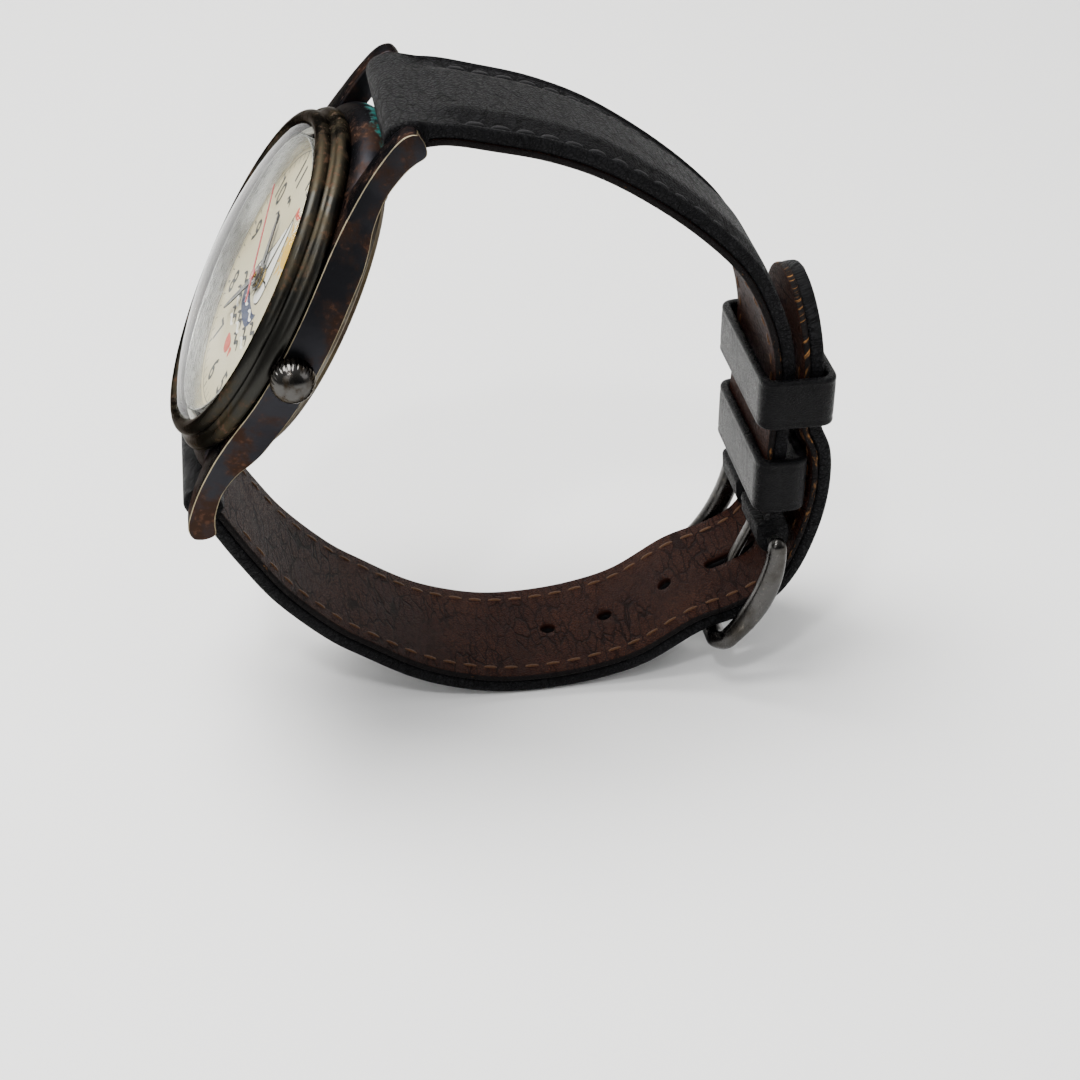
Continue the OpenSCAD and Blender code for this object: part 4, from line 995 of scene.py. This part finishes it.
def leather(name, deep, worn, roughness, pebble, crease, depth, gloss, rim_colour=None, rub=0.35):
    """Dressed leather: dyed, grained and creased, paler on the crests of the grain as rubbed wear and as
    painted sheen.

    With a rim colour, the cut edge is painted black and the paint has flaked off in places,
    most of all where the strap is handled."""
    material, tree, bsdf = new_finish(name, deep, 0.0, roughness, Specular_IOR_Level=gloss)
    surface_at = node(tree, "UVMap", uv_map="UVMap").outputs["UV"]
    where = node(tree, "TexCoord").outputs["Object"]
    skin = place_group(tree, grain_group, {"Vector": surface_at, "Pebble": pebble,
                                           "Crease": crease}).outputs
    cloud = noise(tree, where, 170.0, 5.0)
    # Paler crests of the grain: partly rubbed wear, partly painted sheen
    crest = ramp(tree, skin["Relief"], 0.25, 0.75)
    colour = blend_colours(tree, sums(tree, "MULTIPLY", crest, ramp(tree, cloud, 0.3, 0.7, rub, 1.0)),
                           deep, worn)
    # Painted shade: the creases darkened to a third of the dye
    colour = blend_colours(tree, skin["Creases"], colour, tuple(0.35 * c for c in deep))
    if rim_colour:
        rim = node(tree, "Attribute", attribute_name="rim").outputs["Fac"]
        side = node(tree, "Attribute", attribute_name="side").outputs["Fac"]
        handled = node(tree, "Attribute", attribute_name="handled").outputs["Fac"]
        colour = blend_colours(tree, ramp(tree, side, 0.15, 0.6), colour, (0.005, 0.004, 0.004))
        drawn_out = node(tree, "Mapping", {"Vector": surface_at, "Scale": (3.2, 13.0, 1.0)})
        flake = node(tree, "TexNoise", {"Vector": drawn_out.outputs[0], "Scale": 1.0,
                                        "Detail": 7.0, "Roughness": 0.72}).outputs["Fac"]
        mask = ramp(tree, sums(tree, "ADD", sums(tree, "MULTIPLY", rim, 0.22),
                               sums(tree, "ADD", flake, sums(tree, "MULTIPLY", handled, 0.10))),
                    0.84, 0.97)
        colour = blend_colours(tree, mask, colour, rim_colour)
    tree.links.new(colour, bsdf.inputs["Base Color"])
    tree.links.new(sums(tree, "ADD", ramp(tree, crest, 0.0, 1.0, roughness + 0.12, roughness),
                        sums(tree, "MULTIPLY", cloud, 0.08)), bsdf.inputs["Roughness"])
    bump(tree, bsdf, skin["Relief"], depth)
    return material


# The second colour of each leather is its paler crest tone: rubbed wear and painted sheen
black_leather = leather("strap_leather", (0.0016, 0.0016, 0.002), (0.0075, 0.0075, 0.0085), 0.45, 26.0,
                        0.75, 0.00013, 0.07)
brown_lining = leather("lining_leather", (0.013, 0.004, 0.003), (0.040, 0.013, 0.006), 0.50, 34.0,
                       0.9, 0.00012, 0.07, (0.30, 0.14, 0.045))

pitch, seam_in = 2.35, 1.75


def padding(s, t, w, first, last, rise, drop):
    """Filler under the middle, a sewn channel near each edge, and a dimple at each stitch.

    The filler rises in an eased step from the seam to the middle and fades at both ends. The
    channel is a bell curve on the seam, deepened by a cosine that has one wave to a stitch.
    """
    inward = w - np.abs(t)
    body = step_up(inward, seam_in + 0.3, seam_in + 2.6) * step_up(s, 1.5, 6.0) \
        * (1 - step_up(s, last - 9, last))
    channel = np.exp(-((inward - seam_in) / 0.42) ** 2)
    stitched = step_up(s, first - 0.8, first) * (1 - step_up(s, last, last + 0.8))
    dimple = 0.5 + 0.5 * np.cos(2 * np.pi * (s - first) / pitch)
    return rise * body - drop + drop * body - channel * stitched * (0.13 + 0.12 * dimple)


def upper_pad(s, t, w, total):
    """The short half: a raised filler, and seams that stop short of the buckle's loop."""
    return padding(s, t, w, 5.5, total - 13.0, 0.25, 0.28) * step_up(s, 1.0, 3.5)


def lower_pad(s, t, w, total):
    """The long half: flat in the middle with sunk borders that fade towards the tip."""
    return padding(s, t, w, 5.5, total - 8.0, 0.0, 0.22) * step_up(s, 1.0, 3.5) \
        * (1 - step_up(s, total - 12, total - 6) * 0.5)


def loop_top(s, total, both):
    """Outer face: 1.05 mm off the middle line, 1.7 mm where it goes round a bar."""
    near = 1 - step_up(s, 0.8, 3.6)
    far = step_up(s, total - 3.6, total - 0.8) if both else 0
    return 1.05 + 0.65 * np.maximum(near, far)


def loop_low(s, total, both):
    """Inner face of the black leather: on the lining, and right round the bar at an end."""
    near = 1 - step_up(s, 1.6, 2.4)
    far = step_up(s, total - 2.4, total - 1.6) if both else 0
    return -0.35 - 1.35 * np.maximum(near, far)


def punch(piece, holes):
    """Cuts holes through a piece: each is a prism, given by its outline, direction and place."""
    for at_point, across, outline in holes:
        along = np.array([across[1], -across[0]])
        base = np.array([at_point[0], 0.0, at_point[1]])
        u = np.array([along[0], 0.0, along[1]])
        n = np.array([across[0], 0.0, across[1]])
        flat_points = base + outline[:, :1] * u + outline[:, 1:] * np.array([0.0, 1.0, 0.0])
        P = np.stack([flat_points - 4 * n, flat_points + 4 * n]) * mm
        cutter = grid_piece("cutter", P, piece.data.materials[0], around=True)
        close_ends(cutter)
        tool = piece.modifiers.new("hole", "BOOLEAN")
        tool.object, tool.operation, tool.solver = cutter, "DIFFERENCE", "MANIFOLD"
        bpy.context.view_layer.update()
        done = bpy.data.meshes.new_from_object(
            piece.evaluated_get(bpy.context.evaluated_depsgraph_get()))
        piece.modifiers.clear()
        piece.data = done
        bpy.data.objects.remove(cutter)


ring_hole = arc_line((0, 0), 0.85, 0, 345, 24)
long_hole = np.concatenate([arc_line((2.3, 0), 0.85, -90, 90, 12), arc_line((-2.3, 0), 0.85, 90, 270, 12)])
slot_hole = np.array([[-2.6, -1.15], [3.4, -1.15], [3.4, 1.15], [-2.6, 1.15]])

upper, upper_run, upper_total = strap_layer(
    "strap_short_leather", upper_line, 1, lambda s, L: loop_top(s, L, True),
    lambda s, L: loop_low(s, L, True), black_leather, upper_pad, rolls=("first", "last"))
punch(upper, [(hinge_bar, np.array([1.0, 0.0]), slot_hole)])
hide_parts("strap_upper")
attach(upper, "watch")


def trimmed(line, a, b):
    """Part of a line between two distances from its ends."""
    points, s = even_steps(line, 0.2)
    return points[(s >= a) & (s <= s[-1] - b)]


upper_lining, *_ = strap_layer(
    "strap_short_lining", trimmed(upper_line, 1.9, 3.4), 1, lambda s, L: -0.37 + 0 * s,
    lambda s, L: -1.05 + 0 * s, brown_lining, eased=0.3)
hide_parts("strap_upper_lining")
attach(upper_lining, "watch")

lower, lower_run, lower_total = strap_layer(
    "strap_long_leather", lower_line, -1, lambda s, L: loop_top(s, L, False),
    lambda s, L: loop_low(s, L, False), black_leather, lower_pad, tip=8.0, rolls=("first",))
lower_lining, *_ = strap_layer(
    "strap_long_lining", trimmed(lower_line, 1.9, 0.0), -1, lambda s, L: -0.37 + 0 * s,
    lambda s, L: -1.05 + 0 * s, brown_lining, tip=8.0, eased=0.3)
hole_places = smooth_line(lower_knots, 4)
holes = []
for k in (37, 42, 47, 60, 67, 74):
    along = hole_places[k + 1] - hole_places[k - 1]
    along /= np.linalg.norm(along)
    holes.append((hole_places[k], np.array([-along[1], along[0]]), ring_hole))
slant = np.array([0.92, 0.39]) / math.hypot(0.92, 0.39)
holes.append((np.array([22.2, -23.2]), np.array([-slant[1], slant[0]]), long_hole))
for piece, cad, finish_slot in ((lower, "strap_lower", "leather_black"),
                                (lower_lining, "strap_lower_lining", "leather_brown")):
    punch(piece, holes)
    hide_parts(cad)
    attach(piece, "watch")

# ---------------------------------------------------------------- stitching
# Waxed black thread, sewn by machine along both edges of each half of the strap. Each
# stitch is a short thread that dips into its two holes.


def thread_finish(name, dark, light):
    """Twisted thread: fine slanted strands, with painted shade between them."""
    material, tree, bsdf = new_finish(name, dark, 0.0, 0.6, Specular_IOR_Level=0.2)
    where = node(tree, "TexCoord").outputs["Object"]
    twist = node(tree, "TexWave", {"Vector": where, "Scale": 2200.0, "Distortion": 2.0,
                                   "Detail": 2.0}).outputs["Fac"]
    # The first colour is painted shade between the strands
    tree.links.new(blend_colours(tree, twist, dark, light), bsdf.inputs["Base Color"])
    bump(tree, bsdf, twist, 0.00003)
    return material


thread = thread_finish("thread_black", (0.003, 0.003, 0.004), (0.014, 0.014, 0.015))
tan_thread = thread_finish("thread_tan", (0.030, 0.013, 0.006), (0.11, 0.05, 0.02))


def sewing(name, run, first, last, lift, finish, radius=0.24, below=False):
    """One mesh of many stitches: a short arched thread, copied to each place on the seam.

    A stitch is a round thread. With u from -1 to 1 along it, its radius falls as the root of
    1 less the fourth power of u, and its middle line as u squared. lift is the height of that
    line off the strap's own.
    """
    points, out, s, width = run
    order = np.argsort(s)
    order = order[np.concatenate([[True], np.diff(s[order]) > 1e-6])]
    centres = np.arange(first + pitch / 2, last, pitch)
    u = np.linspace(-1, 1, 7)
    v = np.linspace(0, 2 * np.pi, 6, endpoint=False)
    # Template: along the stitch, up and across, thin at both ends
    along = np.repeat(u[:, None] * 0.42 * pitch, 6, 1)
    thin = np.sqrt(np.clip(1 - u ** 4, 0.02, None))[:, None]
    up = radius * thin * np.sin(v)[None] - 0.16 * (u ** 2)[:, None]
    over = radius * thin * np.cos(v)[None]
    grids = []
    for sign in (-1, 1):
        at_s = centres[:, None, None] + along[None]
        pos = np.stack([np.interp(at_s, s[order], points[order, k]) for k in (0, 1)], -1)
        nor = np.stack([np.interp(at_s, s[order], out[order, k]) for k in (0, 1)], -1)
        w = np.interp(at_s, s[order], width[order])
        h = lift + (-1 if below else 1) * up[None]
        place = pos + nor * h[..., None]
        y = sign * (w - seam_in) + over[None]
        grids.append(np.stack([place[..., 0], y, place[..., 1]], -1) * mm)
    P = np.concatenate(grids).reshape(-1, 7 * 6, 3)
    i, j = np.meshgrid(np.arange(6), np.arange(6), indexing="ij")
    quad = np.stack([i * 6 + j, (i + 1) * 6 + j, (i + 1) * 6 + (j + 1) % 6, i * 6 + (j + 1) % 6], -1)
    faces = (quad.reshape(1, -1, 4) + (np.arange(len(P)) * 42)[:, None, None]).reshape(-1, 4)
    ends = np.stack([np.arange(6)[::-1], 36 + np.arange(6)])
    caps = (ends[None] + (np.arange(len(P)) * 42)[:, None, None]).reshape(-1, 6)
    mesh = bpy.data.meshes.new(name)
    mesh.from_pydata(P.reshape(-1, 3).tolist(), [], faces.tolist() + caps.tolist())
    work = bmesh.new()
    work.from_mesh(mesh)
    bmesh.ops.recalc_face_normals(work, faces=work.faces)
    work.to_mesh(mesh)
    work.free()
    mesh.polygons.foreach_set("use_smooth", np.ones(len(mesh.polygons), bool))
    mesh.materials.append(finish)
    piece = bpy.data.objects.new(name, mesh)
    scene.collection.objects.link(piece)
    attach(piece, "watch")


seams = (("short", upper_run, upper_total - 13.0, 0.66), ("long", lower_run, lower_total - 8.0, 0.72))
for half_name, run, last, lift in seams:
    sewing(f"stitches_{half_name}_outside", run, 5.5, last, lift, thread)
for half_name, run, last, _ in seams:
    sewing(f"stitches_{half_name}_inside", run, 5.5, last, -1.02, tan_thread, 0.2, below=True)

# ---------------------------------------------------------------- keepers
# Two loops of smooth black leather round the strap: one sewn fast beside the buckle, one
# that slides and holds the strap's free end. Edges painted and rounded.

# Second colour: paler crests of the grain, rubbed wear and painted sheen
keeper_leather = leather("keeper_leather", (0.001, 0.001, 0.0013), (0.0032, 0.0032, 0.004), 0.22, 44.0,
                         0.30, 0.00006, 0.08)


def filled(outline, step):
    """Closed outline with points added along its sides, about a step apart."""
    parts = []
    for a, b in zip(outline, np.roll(outline, -1, 0)):
        n = max(int(np.linalg.norm(b - a) / step), 1)
        parts.append(a + (b - a) * (np.arange(n) / n)[:, None])
    return np.concatenate(parts)


def lengths_round(outline):
    """Distance travelled at each point of a closed outline, and once more at its start."""
    sides = np.linalg.norm(np.diff(np.append(outline, outline[:1], 0), axis=0), axis=1)
    return np.concatenate([[0], np.cumsum(sides)])


def keeper_loop(name, x0, x1, half_w, z, length, wall, body, cad):
    """Band round the strap: a rounded strip carried round a rectangle with round corners."""
    outline = eased_corners([[x0, -half_w], [x1, -half_w], [x1, half_w], [x0, half_w]],
                            [1.9] * 4, 12)[0]
    line = filled(outline, 0.35)
    way = np.roll(line, -1, 0) - np.roll(line, 1, 0)
    way /= np.linalg.norm(way, axis=1)[:, None]
    out = np.stack([way[:, 1], -way[:, 0]], -1)
    # Strip's own section: a long rectangle with round edges, creased near both of them
    r = wall * 0.42
    lat = filled(eased_corners([[0, -length / 2], [0, length / 2], [-wall, length / 2],
                                [-wall, -length / 2]], [r] * 4, 7)[0], 0.3)
    height = lat[:, 1]
    groove = np.exp(-((np.abs(height) - length / 2 + 0.8) / 0.16) ** 2) * (lat[:, 0] > -0.05)
    depth = lat[:, 0] - 0.06 * groove
    plan = line[:, None] + out[:, None] * (depth[None] - 0.02)[..., None]
    P = np.stack([plan[..., 0], plan[..., 1], z + height[None] + 0 * plan[..., 0]], -1) * mm
    uv = np.stack(np.meshgrid(lengths_round(line), lengths_round(lat), indexing="ij"), -1) * 0.1
    piece = grid_piece(name, P, keeper_leather, along=True, around=True, uv=uv)
    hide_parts(cad)
    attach(piece, body)


keeper_loop("keeper_sewn", 21.5, 27.0, 9.1, -8.2, 6.0, 1.0, "watch", "fixed_keeper")
keeper_loop("keeper_sliding", 21.3, 29.2, 9.4, 1.5, 5.4, 0.95, "floating_keeper", "floating_keeper")

# ---------------------------------------------------------------- buckle
# A bent bar frame of plated metal with a tongue that hangs on the same spring bar. Round
# front bar, flattened arms, polished and scuffed to a pewter grey.

pewter, tree, bsdf = new_finish("buckle_plating", (0.30, 0.295, 0.29), 1.0, 0.24)
where = node(tree, "TexCoord").outputs["Object"]
scuffs = node(tree, "TexNoise", {"Vector": node(tree, "Mapping", {
    "Vector": where, "Scale": (900, 300, 500)}).outputs[0], "Scale": 1.0, "Detail": 8.0,
    "Roughness": 0.7}).outputs["Fac"]
tarnish = noise(tree, where, 260.0, 5.0)
tone = blend_colours(tree, ramp(tree, tarnish, 0.42, 0.7), (0.06, 0.058, 0.056), (0.028, 0.025, 0.021))
tree.links.new(blend_colours(tree, ramp(tree, scuffs, 0.58, 0.72), tone, (0.11, 0.10, 0.085)),
               bsdf.inputs["Base Color"])
tree.links.new(ramp(tree, scuffs, 0.3, 0.75, 0.18, 0.40), bsdf.inputs["Roughness"])
bump(tree, bsdf, scuffs, 0.000006)

front_bar = np.array([18.4, -27.0])
# Unit vectors from the spring bar to the front bar, and outwards from the strap
chord = np.linalg.norm(front_bar - hinge_bar)
on_chord = (front_bar - hinge_bar) / chord
off_chord = np.array([-on_chord[1], on_chord[0]])
off_chord = off_chord if off_chord @ (hinge_bar + front_bar) > 0 else -off_chord
# Arms: rise of their curve over the chord, place off the middle, and the curve's radius
arm_rise, arm_at = 1.5, 9.55
arm_r = (chord ** 2 / 4 + arm_rise ** 2) / (2 * arm_rise)


def bar_sweep(name, line, half_across, half_out, body, cad):
    """Bar along a line of points: its section is a circle squared off a little, with each
    half width given along the line, across the strap and outwards from it. The squaring is the
    0.75th power of the circle's sine and cosine."""
    way = np.gradient(line, axis=0)
    way /= np.linalg.norm(way, axis=1)[:, None]
    outwards = np.array([off_chord[0], 0.0, off_chord[1]])
    side = outwards - (outwards * way).sum(1)[:, None] * way
    side /= np.linalg.norm(side, axis=1)[:, None]
    up = np.cross(way, side)
    a = np.linspace(0, 2 * np.pi, 20, endpoint=False)
    c = np.sign(np.cos(a)) * np.abs(np.cos(a)) ** 0.75
    q = np.sign(np.sin(a)) * np.abs(np.sin(a)) ** 0.75
    P = line[:, None] + side[:, None] * (half_out[:, None] * c[None])[..., None] \
        + up[:, None] * (half_across[:, None] * q[None])[..., None]
    piece = grid_piece(name, P * mm, pewter, around=True)
    close_ends(piece)
    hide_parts(cad)
    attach(piece, body)


# One side arm: past the hinge, along its curve, round the corner and half the front bar
round_r = 1.5
x = np.linspace(-1.1, chord - round_r, 44)
y = arm_rise - arm_r + np.sqrt(arm_r ** 2 - (x - chord / 2) ** 2)
arm = np.stack([x, y, np.full(44, arm_at)], -1)
bend = np.radians(np.linspace(0, 90, 15))[1:]
corner = np.stack([chord - round_r + round_r * np.sin(bend), y[-1] * np.cos(bend) ** 2,
                   arm_at - round_r + round_r * np.cos(bend)], -1)
cross = np.stack([np.full(30, chord), np.zeros(30), np.linspace(arm_at - round_r, 0, 31)[1:]], -1)
one_side = np.concatenate([arm, corner, cross])
whole = np.concatenate([one_side, one_side[::-1][1:] * [1, 1, -1]])


def off_hinge(along, off, across):
    """Row points, in mm, at distances along the buckle, outwards and across from its bar."""
    return np.stack([hinge_bar[0] + along * on_chord[0] + off * off_chord[0], across,
                     hinge_bar[1] + along * on_chord[1] + off * off_chord[1]], -1)


line = off_hinge(*whole.T)
n = len(line)
k = np.minimum(np.arange(n), n - 1 - np.arange(n)).astype(float)
taper = np.sqrt(np.clip(1 - np.clip(1 - k / 4.0, 0, 1) ** 2, 0.0004, None))
onto_bar = step_up(k, 42.0, 58.0)
belly = np.sin(np.clip(k / 48.0, 0, 1) * np.pi) ** 1.5
bow_out = ((0.92 + 0.30 * belly) * (1 - onto_bar) + 1.0 * onto_bar) * taper
bow_across = (0.92 * (1 - onto_bar) + 1.0 * onto_bar) * taper
bar_sweep("buckle_bow", line, bow_across, bow_out, "buckle_frame", "buckle_frame")

# Tongue: a flat pin from its eye on the bar, over the front bar
gap = 1.06
tongue_x = np.array([-1.25, -0.9, 0.2, 0.3 * chord, 0.55 * chord, 0.85 * chord, chord + 0.6,
                     chord + 1.4])
tongue_y = np.array([0.1, 0.75, 0.95, 1.15, 1.28, gap + 0.5, gap + 0.42, gap - 0.05])
line = off_hinge(evenly(tongue_x, 60), evenly(tongue_y, 60), np.zeros(60))
end_taper = np.sqrt(np.clip(1 - np.clip((np.arange(60) - 52) / 7.0, 0, 1) ** 2, 0.003, None))
bar_sweep("buckle_pin", line, 0.74 * np.minimum(1, 0.55 + 0.45 * end_taper), 0.44 * end_taper,
          "buckle_tongue", "buckle_tongue")
eye = np.radians(np.linspace(0, 360, 40, endpoint=False))
eye_line, _ = eased_corners([[1.35, -0.75], [1.35, 0.75], [0.76, 0.75], [0.76, -0.75]],
                            [0.2, 0.2, 0.1, 0.1], 4)
P = np.stack([hinge_bar[0] + eye_line[None, :, 0] * np.cos(eye)[:, None],
              eye_line[None, :, 1] + 0 * eye[:, None],
              hinge_bar[1] + eye_line[None, :, 0] * np.sin(eye)[:, None]], -1) * mm
eyelet = grid_piece("buckle_pin_eye", P, pewter, along=True, around=True)
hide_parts("buckle_tongue")
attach(eyelet, "buckle_tongue")
